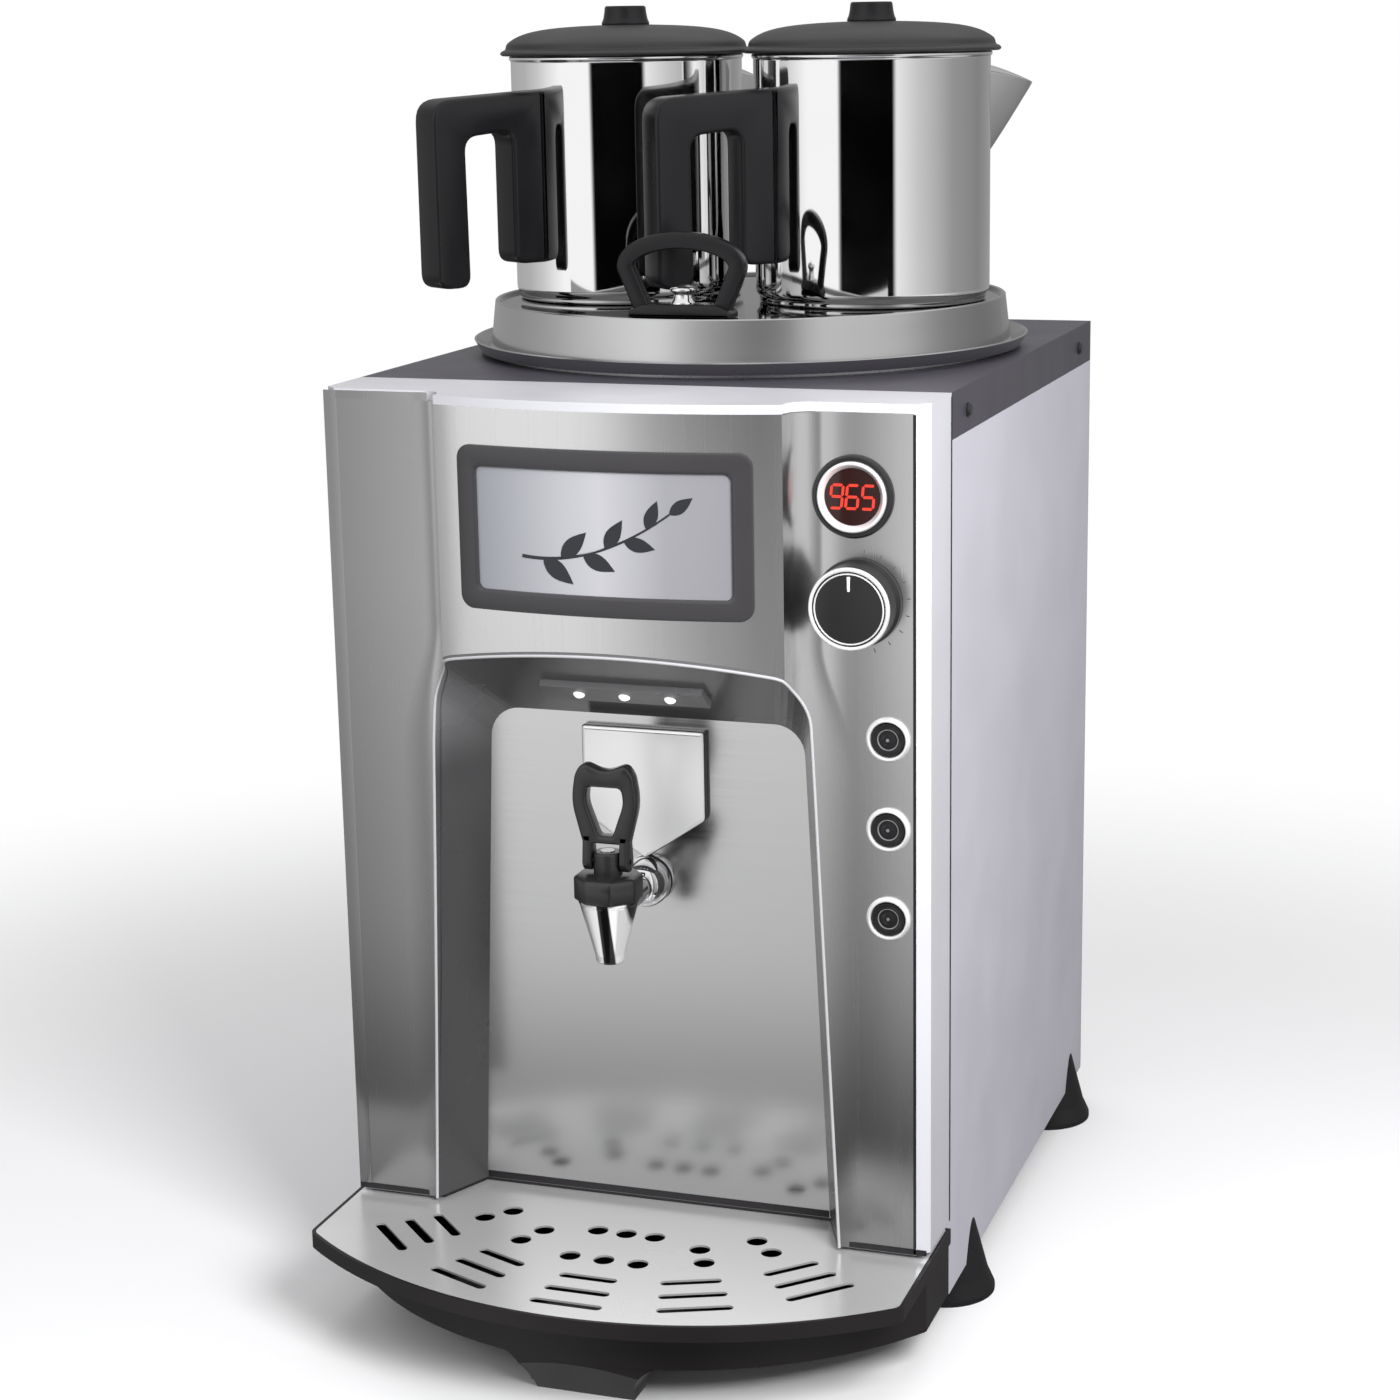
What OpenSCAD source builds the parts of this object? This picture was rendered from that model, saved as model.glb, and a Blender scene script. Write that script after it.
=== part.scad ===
// Two-pot tea urn: a water boiler whose steam keeps two teapots warm, with a tap over a drip tray.
// Millimetres, +Z up, front towards -Y. The origin is on the counter, in the middle of the footprint.

/* [Casing] */
// Width of the casing
body_w = 350; // [336:1:400]
// Depth of the casing behind the front cover
body_d = 380; // [350:1:420]
// Height of the casing's lower edge above the counter
base_z = 23; // [18:1:28]
// Height of the top cover above the counter
top_z = 548; // [536:1:580]
// Thickness of the sheet steel
sheet = 1.5; // [1:0.1:2]
// Height of the top cover's skirt
skirt_h = 26; // [20:1:34]
// Width of the flanges folded inwards on the side panels
flange_w = 24; // [18:1:30]
// Height of the base pan's rim
pan_rim = 40; // [32:1:60]
// Distance of the skirt screws from the boiler axis
skirt_screw_y = 153; // [120:1:165]

/* [Front cover] */
// Height of the cover's lower edge above the counter
cover_z = 68; // [66:0.5:80]
// How far the columns stand ahead of the casing
column_depth = 50; // [46:1:60]
// Bevel at the cover's outer corners
corner_bevel = 7; // [4:0.5:9]
// Width of a column beside the bulged centre
column_w = 75; // [72:0.5:80]
// Step from the columns to the ends of the bulge
bulge_step = 17; // [15:0.5:22]
// How far the middle of the bulge stands ahead of its ends
bulge_rise = 13; // [6:0.5:20]
// Radius of the cove between a column and the bulge
cove_r = 14; // [8:0.5:15]
// Wall of the moulded cover
cover_wall = 3; // [2.2:0.1:4]
// Thickness of the brushed skin on the cover
skin_t = 1; // [0.6:0.1:1.5]
// Pale edge of the cover left bare above the skin
skin_edge = 5; // [3:0.5:8]

/* [Recess] */
// How far the stainless front panel stands ahead of the casing
panel_depth = 14; // [8:1:20]
// Distance of the recess from the casing's side, at the top of its back wall
recess_top_edge = 80; // [77:0.5:90]
// Distance of the recess from the casing's side, at the foot of its back wall
recess_foot_edge = 67; // [64:0.5:75]
// Distance of the top of the back wall below the top cover
recess_drop = 187; // [180:1:208]
// Radius of the upper corners of the recess
recess_corner = 18; // [8:1:30]
// Angle at which the side walls open towards the front
reveal_angle = 22.6; // [10:0.2:24]
// Angle at which the ceiling rises towards the front
ceiling_angle = 36; // [25:0.5:38]
// Wall of the recess liner
liner_wall = 2; // [1.2:0.1:3]
// Length of the light bar on the ceiling
light_w = 96; // [80:1:120]
// Width of the light bar
light_d = 18; // [12:1:22]
// Thickness of the light bar
light_h = 4; // [3:0.5:6]
// Distance of the light bar's middle from the back wall, along the ceiling
light_back = 37; // [28:1:44]
// Diameter of an LED
led_d = 6.4; // [4:0.2:8]
// Distance between LEDs
led_pitch = 27; // [20:1:32]

/* [Sign] */
// Distance of the sign's frame from the ends of the bulge
sign_margin = 14.5; // [8:0.5:24]
// Height of the sign's frame
sign_h = 91; // [80:1:100]
// Distance of the sign's middle below the top cover
sign_drop = 71; // [66:1:76]
// Corner radius of the sign's frame
sign_corner = 8; // [5:0.5:12]
// Width of the frame's border
sign_border = 11.5; // [9:0.5:16]
// How far the frame stands proud of the skin
sign_proud = 1.5; // [0.8:0.1:3]
// Lap of the frame over its window
sign_lap = 4; // [3:0.5:6]
// Depth of the lamp tray behind the sign
lamp_depth = 24; // [18:1:32]

/* [Thermometer] */
// Distance of the thermometer's axis from the casing's side
thermometer_edge = 41; // [38:0.5:46]
// Distance of the thermometer's axis below the top cover
thermometer_drop = 50; // [44:1:56]
// Diameter of the thermometer's black flange
thermometer_d = 45; // [40:0.5:48]
// Diameter of the chrome ring
thermometer_ring_d = 38.4; // [36:0.2:40]
// Diameter of the window
window_d = 31; // [27:0.5:33]
// Depth of the barrel behind the column's face
thermometer_depth = 26; // [18:1:32]

/* [Thermostat] */
// Distance of the knob's axis from the casing's side
knob_edge = 38; // [36:0.5:44]
// Distance of the knob's axis below the top cover
knob_drop = 107; // [102:1:110]
// Diameter of the knob's skirt
knob_d = 48; // [44:0.5:52]
// Diameter of the knob's grip
knob_grip_d = 45; // [40:0.5:45]
// How far the knob stands ahead of the column
knob_h = 22; // [16:0.5:28]
// Width of the knob's chrome ring
knob_ring_w = 3.5; // [2:0.1:5]
// Diameter of the thermostat's body
thermostat_d = 42; // [36:1:46]
// Depth of the thermostat's body
thermostat_depth = 24; // [18:1:28]
// Diameter of the thermostat's shaft
shaft_d = 6; // [5:0.5:8]

/* [Buttons] */
// Distance of the buttons' axes from the casing's side
button_edge = 22; // [20:0.5:26]
// Distance of the upper button below the top cover
button_drop = 182; // [170:1:196]
// Distance between the buttons
button_pitch = 50.5; // [34:0.5:56]
// Diameter of a button's chrome bezel
bezel_d = 25; // [24:0.5:28]
// Diameter of a button's cap
cap_d = 19; // [16:0.5:19]
// Travel of a button
button_travel = 3; // [2:0.1:4]
// Depth of a bezel's barrel behind the column's face
barrel_depth = 16; // [15:0.5:18]
// Depth of a switch body
switch_depth = 13; // [11:0.5:15]

/* [Tap] */
// Distance of the tap's axis from the recess's back wall
tap_reach = 64; // [56:1:80]
// Distance of the tap's shank below the top of the recess's back wall
shank_drop = 97; // [95:1:110]
// Diameter of the tap's shank
tap_shank_d = 16; // [14:0.5:18]
// Diameter of the ball at the wall
ball_d = 29; // [22:0.5:30]
// Distance of the nozzle's mouth below the shank
nozzle_drop = 28.5; // [24:0.5:36]
// Diameter of the nozzle's mouth
nozzle_d = 16; // [14:0.5:20]
// Diameter of the tap's cone at its top
cone_d = 34; // [32:0.5:35]
// Height of the bonnet's lower edge above the shank
bonnet_rise = 8.5; // [8:0.5:16]
// Width of the bonnet's collar
bonnet_d = 36; // [35:0.5:42]
// Height of the bonnet's collar
bonnet_h = 14; // [12:0.5:18]
// Diameter of the boss that carries the lever
boss_d = 16; // [14:0.5:18]
// Height of the boss
boss_h = 13; // [12:0.5:15]
// Diameter of the stem
stem_d = 8; // [7:0.5:9]
// Lift of the stem when the tap is open
stem_lift = 3; // [2:0.1:4]
// Diameter of the lever's pin
pin_d = 3; // [2.5:0.1:3.4]
// Width of the lever's loop
lever_w = 39; // [34:0.5:46]
// Height of the lever above its pin
lever_h = 56; // [48:0.5:66]
// Thickness of the lever, front to back
lever_t = 9; // [7:0.5:11]
// Thickness of the lever's prongs
prong_t = 5; // [4:0.5:6]
// Width of the loop's band
lever_band = 8.5; // [6:0.5:10]
// Width of the tap plate
plate_w = 74; // [60:1:80]
// Distance of the tap plate's top below the top of the back wall
plate_gap = 6; // [5:1:20]
// Length of the plate's sides
plate_side = 52; // [44:1:60]
// Height of the point under the plate's sides
plate_point = 25; // [16:0.5:26]
// Thickness of the tap plate
plate_t = 6; // [3:0.5:9]

/* [Drip tray] */
// Height of the tray's plate above the counter
tray_z = 66; // [60:0.5:66]
// How far the tray stands wider than the casing, each side
tray_over = 2; // [0:0.5:3]
// Distance of the tray's front from the casing's front
tray_reach = 177; // [150:1:190]
// Radius of the tray's front edge
tray_front_r = 275; // [240:1:320]
// Radius of the tray's front corners
tray_corner = 9; // [6:1:30]
// Height of the tray
tray_h = 40; // [34:1:42]
// Height of the tray's lip
lip_h = 9; // [7:0.5:13]
// Inset of the tub's sides under the lip
lip_over = 1; // [0.5:0.5:4]
// Distance of the tub's front behind the lip's
tub_back = 28; // [20:1:40]
// Radius of the tub's front
tub_r = 214; // [200:1:260]
// Wall of the tray
tray_wall = 3; // [2:0.1:4]
// Thickness of the perforated plate
plate_sheet = 1.2; // [0.8:0.1:2]
// Width of the front foot
foot_w = 58; // [50:1:80]
// Depth of the front foot
foot_depth = 34; // [24:1:44]
// Radius of the coves beside the front foot
foot_cove = 20; // [12:1:24]
// Length of the slots of the outer row
slot_l = 42; // [30:1:48]
// Width of the slots
slot_w = 6; // [4:0.5:8]
// Distance between rows of slots
slot_pitch = 17; // [13:0.5:19]
// Angle between groups of slots
slot_angle = 22.5; // [18:0.5:24]
// Distance of the centre of the slots' fan from the tray's front
slot_fan = 200; // [190:1:216]
// Distance of the outer row of slots from the tray's front
slot_inset = 18; // [14:0.5:24]
// Diameter of the drain holes
drain_d = 12; // [8:0.5:13]

/* [Feet] */
// Diameter of a foot on the counter
foot_d = 62; // [54:1:68]
// Distance of a foot's axis from the casing's side
foot_edge = 18; // [16:0.5:24]
// Distance of the front feet ahead of the boiler axis
foot_front = 132; // [110:1:150]
// Distance of the rear feet behind the boiler axis
foot_rear = 155; // [130:1:156]
// Height to which a foot rises outside the casing
foot_rise = 46; // [38:1:56]
// Diameter of a foot's bolt
foot_bolt_d = 6; // [5:0.5:8]

/* [Steam dish] */
// Height of the deck above the top cover
deck_h = 31; // [26:0.5:40]
// Height of the rim above the deck
rim_h = 2; // [1.2:0.1:4]
// How far the rim lies outside the teapots' bases
deck_margin = 9.8; // [4:0.1:14]
// How far the wall flares outwards at its foot
dish_flare = 3; // [1:0.5:6]
// Width of the gutter around the wall
gutter_w = 10; // [8:0.5:14]
// Height of the gutter's lip
gutter_h = 6; // [4:0.5:10]
// Diameter of the steam hole under a teapot
steam_hole_d = 90; // [60:1:120]
// Distance of the loop handle ahead of the boiler axis
loop_y = 126; // [124:0.5:132]
// Width of the loop handle
loop_w = 78; // [66:1:86]
// Height of the loop's widest place above the deck
loop_waist = 29; // [24:0.5:32]
// Distance between the outsides of the loop's legs at the base
loop_leg_w = 56; // [48:1:60]
// Height of the loop handle above the deck
loop_h = 49; // [42:1:60]
// Width of the loop's band
loop_band = 9.5; // [7:0.5:11]
// Thickness of the loop, front to back
loop_t = 9; // [6:0.5:9]
// Width of the loop's base
loop_base_w = 62; // [56:1:66]
// Height of the loop's base
loop_base_h = 8; // [6:0.5:10]
// Depth of the loop's base
loop_base_d = 18; // [14:0.5:18]
// Diameter of the nut's cap
nut_d = 15; // [11:0.5:16]

/* [Teapots] */
// Radius of a teapot
pot_r = 71; // [68:0.5:76]
// Height of a teapot to its rim
pot_h = 146.5; // [130:0.5:160]
// Wall of a teapot
pot_wall = 1.2; // [0.8:0.1:1.6]
// Inset of the teapot's base ring
pot_base_in = 2; // [1:0.5:4]
// Height of the teapot's base ring
pot_base_h = 5; // [4:0.5:8]
// Direction of the left teapot's handle, turning from +X
left_bearing = 236; // [226:0.5:240]
// Direction of the right teapot's handle
right_bearing = 224; // [218:0.5:232]
// Distance from the teapot's axis to the outside of the grip
handle_reach = 147; // [136:1:150]
// Thickness of the grip
grip_t = 22; // [18:0.5:25]
// Width of the handle, side to side
handle_w = 22; // [18:0.5:24]
// Distance of the handle's top below the rim
handle_drop = 19.5; // [14:0.5:24]
// Length of the grip, downwards
grip_l = 110; // [96:1:111]
// Length of the bar along the teapot
bar_l = 102; // [86:1:108]
// Thickness of the bar along the teapot
bar_t = 21; // [16:0.5:23]
// Radius of the handle's corners
handle_round = 5; // [2:0.5:7]
// How far the spout stands out from the teapot's wall
spout_l = 40; // [28:1:46]
// Height of the spout at the wall
spout_h = 70; // [40:1:76]
// Width of the spout at the wall
spout_w = 36; // [28:1:44]
// Distance of the spout's top below the rim
spout_drop = 7.5; // [6:0.5:20]
// How far the lid overhangs the teapot's wall
lid_over = 6.2; // [3:0.1:8]
// Rise of the lid above its edge
lid_rise = 14; // [12:0.5:24]
// Height of the lid's edge
lid_edge = 4; // [3:0.5:6]
// Diameter of the lid's knob at its foot
lid_knob_d = 29.5; // [24:0.5:32]
// Height of the lid's knob
lid_knob_h = 11; // [9:0.5:16]

/* [Boiler] */
// How far the tank lies inside the dish's rim
tank_inset = 7; // [6.5:0.5:12]
// Height of the tank's floor above the counter
tank_z = 170; // [140:1:200]
// Height of the seal between tank and dish
seal_h = 4; // [3:0.5:6]
// Radius of the heating element's loop
heater_r = 90; // [70:1:110]
// Diameter of the heating element's tube
heater_d = 8.5; // [7:0.5:10]
// Height of the heating element above the tank's floor
heater_rise = 22; // [16:1:40]
// Diameter of the temperature probe
probe_d = 6; // [4:0.5:8]
// How far the probe reaches into the tank
probe_l = 45; // [30:1:80]
// Height of the probe above the counter
probe_z = 230; // [210:1:280]

/* [Rear] */
// Height of the lowest vent slot above the counter
vent_z = 330; // [300:1:360]
// Length of a vent slot
vent_l = 90; // [60:1:110]
// Distance between vent slots
vent_pitch = 16; // [12:0.5:20]
// Diameter of the cord hole in the gland
cord_d = 8; // [6:0.5:9]
// Distance of the gland from the casing's side
gland_edge = 65; // [45:1:115]
// Height of the gland above the counter
gland_z = 100; // [92:1:130]
// How far the gland stands out
gland_out = 16; // [12:0.5:24]

/* [Clearances] */
// Clearance of a shaft or pin in its bore, on the radius
fit = 0.05; // [0.02:0.01:0.1]
// Clearance between parts that lift, slide or turn past each other
clear = 0.3; // [0.2:0.05:0.6]

/* [Hidden] */
$fn = 96;

half_w = body_w / 2;
front_y = -body_d / 2;
rear_y = body_d / 2;
inside_x = half_w - sheet;
skirt_z = top_z - skirt_h;
rear_out = rear_y + sheet;
screw_r = 2;
screw_head_r = 4;
screw_head_t = 2.2;
screw_l = 9;
skirt_screw_z = skirt_z + 12;
rear_screw_x = half_w - flange_w / 2;
gland_r = cord_d / 2 + 4;
gland_x = half_w - gland_edge;

// The footprint runs from the tray's front edge to the gland, and its middle is the origin
tray_front_y = front_y - tray_reach;
origin_y = (tray_front_y + rear_out + gland_out) / 2;

// Plan of the front cover
column_y = front_y - column_depth;
bulge_half = half_w - column_w;
bulge_y = column_y - bulge_step - bulge_rise;
bulge_r = (bulge_half * bulge_half + bulge_rise * bulge_rise) / (2 * bulge_rise);
bulge_centre_y = bulge_y + bulge_r;
cove_cut = 0.02;
skin_half = half_w - corner_bevel - 0.5;
skin_top_z = top_z - skin_edge;
cover_h = top_z - cover_z;

// Recess
panel_y = front_y - panel_depth;
panel_half = half_w - flange_w / 2;
recess_top_w = body_w - 2 * recess_top_edge;
recess_foot_w = body_w - 2 * recess_foot_edge;
recess_top_z = top_z - recess_drop;
recess_h = recess_top_z - cover_z;
recess_run = panel_y - bulge_y + 8;
recess_wide = 1 + recess_run * tan(reveal_angle) * 4 / (recess_top_w + recess_foot_w);
recess_tall = 1 + recess_run * tan(ceiling_angle) / recess_h;
recess_below = 12;
arc_steps = 8;

// Sign
sign_w = 2 * (bulge_half - sign_margin);
sign_z = top_z - sign_drop;
window_w = sign_w - 2 * sign_lap;
window_h = sign_h - 2 * sign_lap;
lamp_wall = 2;
sign_open_w = sign_w - 2 * sign_border;
sign_open_h = sign_h - 2 * sign_border;
sign_open_corner = sign_corner / 2;
pane_t = 2;

// Controls
thermometer_x = half_w - thermometer_edge;
thermometer_z = top_z - thermometer_drop;
knob_x = half_w - knob_edge;
knob_z = top_z - knob_drop;
button_x = half_w - button_edge;
button_z = top_z - button_drop;
flange_proud = 3;
thermometer_wall = 2;
barrel_r = window_d / 2 + thermometer_wall;
neck_r = 5;
shaft_out = knob_h - 6;
ring_proud = 1.5;
pointer_w = 2;
pointer_l = 9;
pointer_depth = 0.6;
cap_gap = clear;
barrel_wall = 1.2;
button_barrel_r = cap_d / 2 + cap_gap + barrel_wall;
plunger_r = 2.5;
cap_back = barrel_depth - 5 - button_travel / 3;

// Tap
tap_y = panel_y - tap_reach;
shank_z = recess_top_z - shank_drop;
nozzle_z = shank_z - nozzle_drop;
bonnet_z = shank_z + bonnet_rise;
plate_top_z = recess_top_z - plate_gap;
plate_side_z = plate_top_z - plate_side;
plate_point_z = plate_side_z - plate_point;
gasket_t = 1.5;
ball_sink = 3;
pivot_z = bonnet_z + bonnet_h + 7.5;
neck_h = 10;
thread_r = bonnet_d / 2 - 5;
chamber_r = thread_r - 2;
chamber_z = nozzle_z + 22.5;
stem_z = chamber_z + 2;
stem_top_z = bonnet_z + bonnet_h + boss_h + 0.5;
prong_x = boss_d / 2 + clear;
pin_half = prong_x + prong_t;
lever_top_z = pivot_z + lever_h;
lever_foot_z = bonnet_z + bonnet_h + boss_h + 4.8;

// Boiler, dish and teapots
deck_z = top_z + deck_h;
rim_z = deck_z + rim_h;
lid_r = pot_r + lid_over;
lid_gap = 2;
pot_x = lid_r + lid_gap / 2;
pot_base_r = pot_r - pot_base_in;
dish_r = pot_x + pot_base_r + deck_margin;
dish_t = 1.5;
gutter_z = top_z + 4;
tank_r = dish_r - tank_inset;
tank_flange_r = tank_r + 8;
heater_gap = 30;
seal_z = top_z + sheet;
seat_z = seal_z + seal_h;
shank_end_y = -(tank_r - 4);
socket_r = tap_shank_d / 2 + 5;
pot_z = deck_z + clear;
pot_rim_z = pot_z + pot_h;
pot_rim_t = 1;
handle_z = pot_rim_z - handle_drop;
spout_top_z = pot_rim_z - spout_drop;
lid_z = pot_rim_z + clear;
lid_top_z = lid_z + lid_edge + lid_rise;
lid_t = 2;
stud_r = 3;

// Tray
tray_half = half_w + tray_over;
web_t = 4;
tray_back_y = front_y - web_t - clear;
tray_bottom_z = tray_z - tray_h;
tray_arc_y = tray_front_y + tray_front_r;
tub_front_y = tray_front_y + tub_back;
foot_rake = 16;
corner_x = tray_half - tray_corner;
corner_run = tray_front_r - tray_corner;
corner_y = tray_arc_y - sqrt(corner_run * corner_run - corner_x * corner_x);
corner_cut = 0.02;
slot_centre_y = tray_front_y + slot_fan;
slot_r = slot_centre_y - tray_front_y - slot_inset;
tongue_w = 24;
tongue_h = 8;
tongue_l = 40;
tongue_x = half_w * 0.55;
tongue_z = base_z + sheet + 5;

// Feet
foot_x = half_w - foot_edge;
foot_top_r = foot_edge;
bolt_head_r = foot_bolt_d / 2 + 3;
bolt_head_z = 6;

// Shared shapes

module from_origin() {
    translate([0, -origin_y, 0])
        children();
}

module rod_x(r, from_x, to_x) {
    translate([from_x, 0, 0])
        rotate([0, 90, 0])
            cylinder(r = r, h = to_x - from_x);
}

module rod_y(r, from_y, to_y) {
    translate([0, from_y, 0])
        rotate([-90, 0, 0])
            cylinder(r = r, h = to_y - from_y);
}

module box(low, high) {
    translate(low)
        cube(high - low);
}

// A flat outline in x and z, thickened towards the front from one depth
module upright(from_y, thickness) {
    translate([0, from_y, 0])
        rotate([90, 0, 0])
            linear_extrude(thickness)
                children();
}

// A profile of radius and distance ahead of the column, turned about an axis towards the front
module turned_ahead(x, z, profile) {
    translate([x, column_y, z])
        rotate([90, 0, 0])
            rotate_extrude()
                polygon(profile);
}

module turned_up(profile) {
    rotate_extrude()
        polygon(profile);
}

module rounded_rect(w, h, r) {
    square([w - 2 * r, h], center = true);
    square([w, h - 2 * r], center = true);
    for (x = [-1, 1], y = [-1, 1])
        translate([x * (w / 2 - r), y * (h / 2 - r)])
            circle(r = r);
}

module slot(length, width) {
    square([length - width, width], center = true);
    for (side = [-1, 1])
        translate([side * (length - width) / 2, 0])
            circle(d = width);
}

module both_sides() {
    children();
    mirror([1, 0, 0])
        children();
}

function arc(centre, r, from, to) = [
    for (step = [0:arc_steps])
        let (angle = from + (to - from) * step / arc_steps)
            centre + r * [cos(angle), sin(angle)]
];

// Casing

module base_pan() {
    color("#8b8b90")
        difference() {
            box([-inside_x, front_y + sheet, base_z], [inside_x, rear_y - sheet, base_z + pan_rim]);
            box([-inside_x + sheet, front_y + 2 * sheet, base_z + sheet],
                [inside_x - sheet, rear_y - 2 * sheet, base_z + pan_rim + 1]);
            tongue_slots();
            at_feet()
                cylinder(r = foot_bolt_d / 2 + fit, h = base_z + 2 * sheet);
        }
}

module at_feet() {
    for (x = [-foot_x, foot_x], y = [-foot_front, foot_rear])
        translate([x, y, 0])
            children();
}

// A cone that flares on the counter, cut where the casing stands in it
module feet() {
    color("#222224")
        difference() {
            at_feet()
                turned_up([
                    [0, 0], [foot_d / 2, 0], [foot_d / 2, 3], [foot_d / 2 - 4, 12],
                    [foot_top_r, foot_rise], [0, foot_rise]
                ]);
            box([-half_w, front_y, base_z], [half_w, rear_y, base_z + foot_rise]);
            at_feet()
                cylinder(r = foot_bolt_d / 2 + fit, h = base_z + 1);
            at_feet()
                translate([0, 0, -1])
                    cylinder(r = bolt_head_r + clear, h = bolt_head_z + 6);
        }
}

module foot_bolts() {
    color("#b0b0b4")
        at_feet() {
            translate([0, 0, bolt_head_z])
                cylinder(r = bolt_head_r, h = 5);
            translate([0, 0, bolt_head_z])
                cylinder(r = foot_bolt_d / 2, h = base_z + sheet + 9 - bolt_head_z);
            translate([0, 0, base_z + sheet])
                cylinder(r = foot_bolt_d / 2 + 3, h = 5, $fn = 6);
        }
}

// Sheet folded inwards at front and rear, with a strip set in behind the top cover's skirt
module side_panel() {
    translate([0, 0, base_z])
        linear_extrude(skirt_z - base_z) {
            translate([inside_x, front_y])
                square([sheet, body_d]);
            for (y = [front_y, rear_y - sheet])
                translate([half_w - flange_w, y])
                    square([flange_w, sheet]);
        }
    translate([0, 0, skirt_z - flange_w / 2])
        linear_extrude(flange_w / 2 + skirt_h - sheet)
            translate([inside_x - sheet, front_y])
                square([sheet, body_d]);
    translate([0, 0, skirt_z - 1])
        linear_extrude(skirt_h - sheet + 1)
            for (y = [front_y, rear_y - sheet])
                translate([half_w - flange_w, y])
                    square([flange_w - sheet, sheet]);
}

module side_panel_right() {
    color("#c9c7d2")
        difference() {
            side_panel();
            skirt_screw_holes();
            rear_screw_holes();
        }
}

module side_panel_left() {
    color("#c9c7d2")
        difference() {
            mirror([1, 0, 0])
                side_panel();
            skirt_screw_holes();
            rear_screw_holes();
        }
}

module skirt_screw_holes() {
    for (y = [-skirt_screw_y, skirt_screw_y])
        translate([0, y, skirt_screw_z])
            both_sides()
                rod_x(screw_r + fit, half_w - 2 * screw_l, half_w + 1);
}

module screw() {
    rotate([0, 90, 0])
        turned_up([
            [0, -screw_l], [screw_r, -screw_l], [screw_r, 0], [screw_head_r, 0],
            [screw_head_r, screw_head_t * 0.4], [screw_head_r - 1, screw_head_t], [0, screw_head_t]
        ]);
}

module cover_screws() {
    color("#1a1a1c")
        for (y = [-skirt_screw_y, skirt_screw_y])
            translate([0, y, skirt_screw_z])
                both_sides()
                    translate([half_w, 0, 0])
                        screw();
}

// Rear panel

module at_rear_screws() {
    low = base_z + pan_rim + 30;
    for (x = [-rear_screw_x, rear_screw_x], z = [low, (base_z + skirt_z) / 2, skirt_z - 30])
        translate([x, 0, z])
            children();
}

module rear_screw_holes() {
    at_rear_screws()
        rod_y(screw_r + fit, rear_y - 2 * screw_l, rear_out + 1);
}

module rear_screws() {
    color("#1a1a1c")
        at_rear_screws()
            translate([0, rear_out, 0])
                rotate([0, 0, 90])
                    screw();
}

module rear_panel() {
    color("#b4b3bb")
        difference() {
            box([-half_w, rear_y, base_z], [half_w, rear_out, skirt_z]);
            rear_screw_holes();
            for (row = [0:7], side = [-1, 1])
                translate([side * (vent_l / 2 + 8), 0, vent_z + row * vent_pitch])
                    upright(rear_out + 1, sheet + 2)
                        slot(vent_l, 5);
            translate([-gland_x, 0, gland_z])
                rod_y(gland_r + fit, rear_y - 1, rear_out + 1);
        }
}

module cord_gland() {
    color("#1c1c1e")
        translate([-gland_x, 0, gland_z])
            difference() {
                union() {
                    rod_y(gland_r, rear_y - 10, rear_out + 1);
                    translate([0, rear_out, 0])
                        rotate([-90, 0, 0])
                            cylinder(r = gland_r + 5, h = 5, $fn = 6);
                    translate([0, rear_out + 5, 0])
                        rotate([-90, 0, 0])
                            cylinder(r1 = gland_r + 2.5, r2 = gland_r - 0.5, h = gland_out - 5);
                    translate([0, rear_y - 5, 0])
                        rotate([-90, 0, 0])
                            cylinder(r = gland_r + 5, h = 5, $fn = 6);
                }
                rod_y(cord_d / 2, rear_y - 11, rear_out + gland_out + 1);
            }
}

// Top cover: a pan with skirts on three sides and a round opening for the tank
module top_cover() {
    color("#55525e")
        difference() {
            box([-half_w, front_y, skirt_z], [half_w, rear_out, top_z]);
            box([-inside_x, front_y - 1, skirt_z - 1], [inside_x, rear_y, top_z - sheet]);
            translate([0, 0, skirt_z])
                cylinder(r = tank_r + clear, h = skirt_h + 1, $fn = 180);
            skirt_screw_holes();
        }
}

// Front

function column_outline(t) = [
    [-(half_w - t), front_y],
    [-(half_w - t), column_y + corner_bevel + t * (sqrt(2) - 1)],
    [-(half_w - corner_bevel - t * (sqrt(2) - 1)), column_y + t],
    [half_w - corner_bevel - t * (sqrt(2) - 1), column_y + t],
    [half_w - t, column_y + corner_bevel + t * (sqrt(2) - 1)],
    [half_w - t, front_y]
];

// Plan of the front, moved inwards by t: two columns, a bulge between them and a cove beside it
module cover_plan(t) {
    polygon(column_outline(t));
    intersection() {
        translate([0, bulge_centre_y])
            circle(r = bulge_r - t, $fn = 360);
        translate([-(bulge_half - t), bulge_y - 1])
            square([2 * (bulge_half - t), column_depth + bulge_step]);
    }
    both_sides()
        difference() {
            translate([bulge_half - t - 1, column_y - cove_r])
                square([cove_r + t + 1, cove_r + t + 1]);
            translate([bulge_half + cove_r, column_y - cove_r])
                circle(r = cove_r + cove_cut + t);
        }
}

// What lies ahead of the plan moved inwards by t, between the bevelled corners
module skin_zone(t) {
    difference() {
        translate([-skin_half, bulge_y - 1])
            square([2 * skin_half, column_y + t - bulge_y + 1]);
        cover_plan(t);
    }
}

function recess_outline(grow) =
    let (
        foot = recess_foot_w / 2 + grow,
        top = recess_top_w / 2 + grow,
        r = recess_corner + grow,
        h = recess_h + grow
    )
    concat(
        [[-foot, -recess_below], [foot, -recess_below]],
        arc([top - r, h - r], r, 0, 90),
        arc([r - top, h - r], r, 90, 180)
    );

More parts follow.
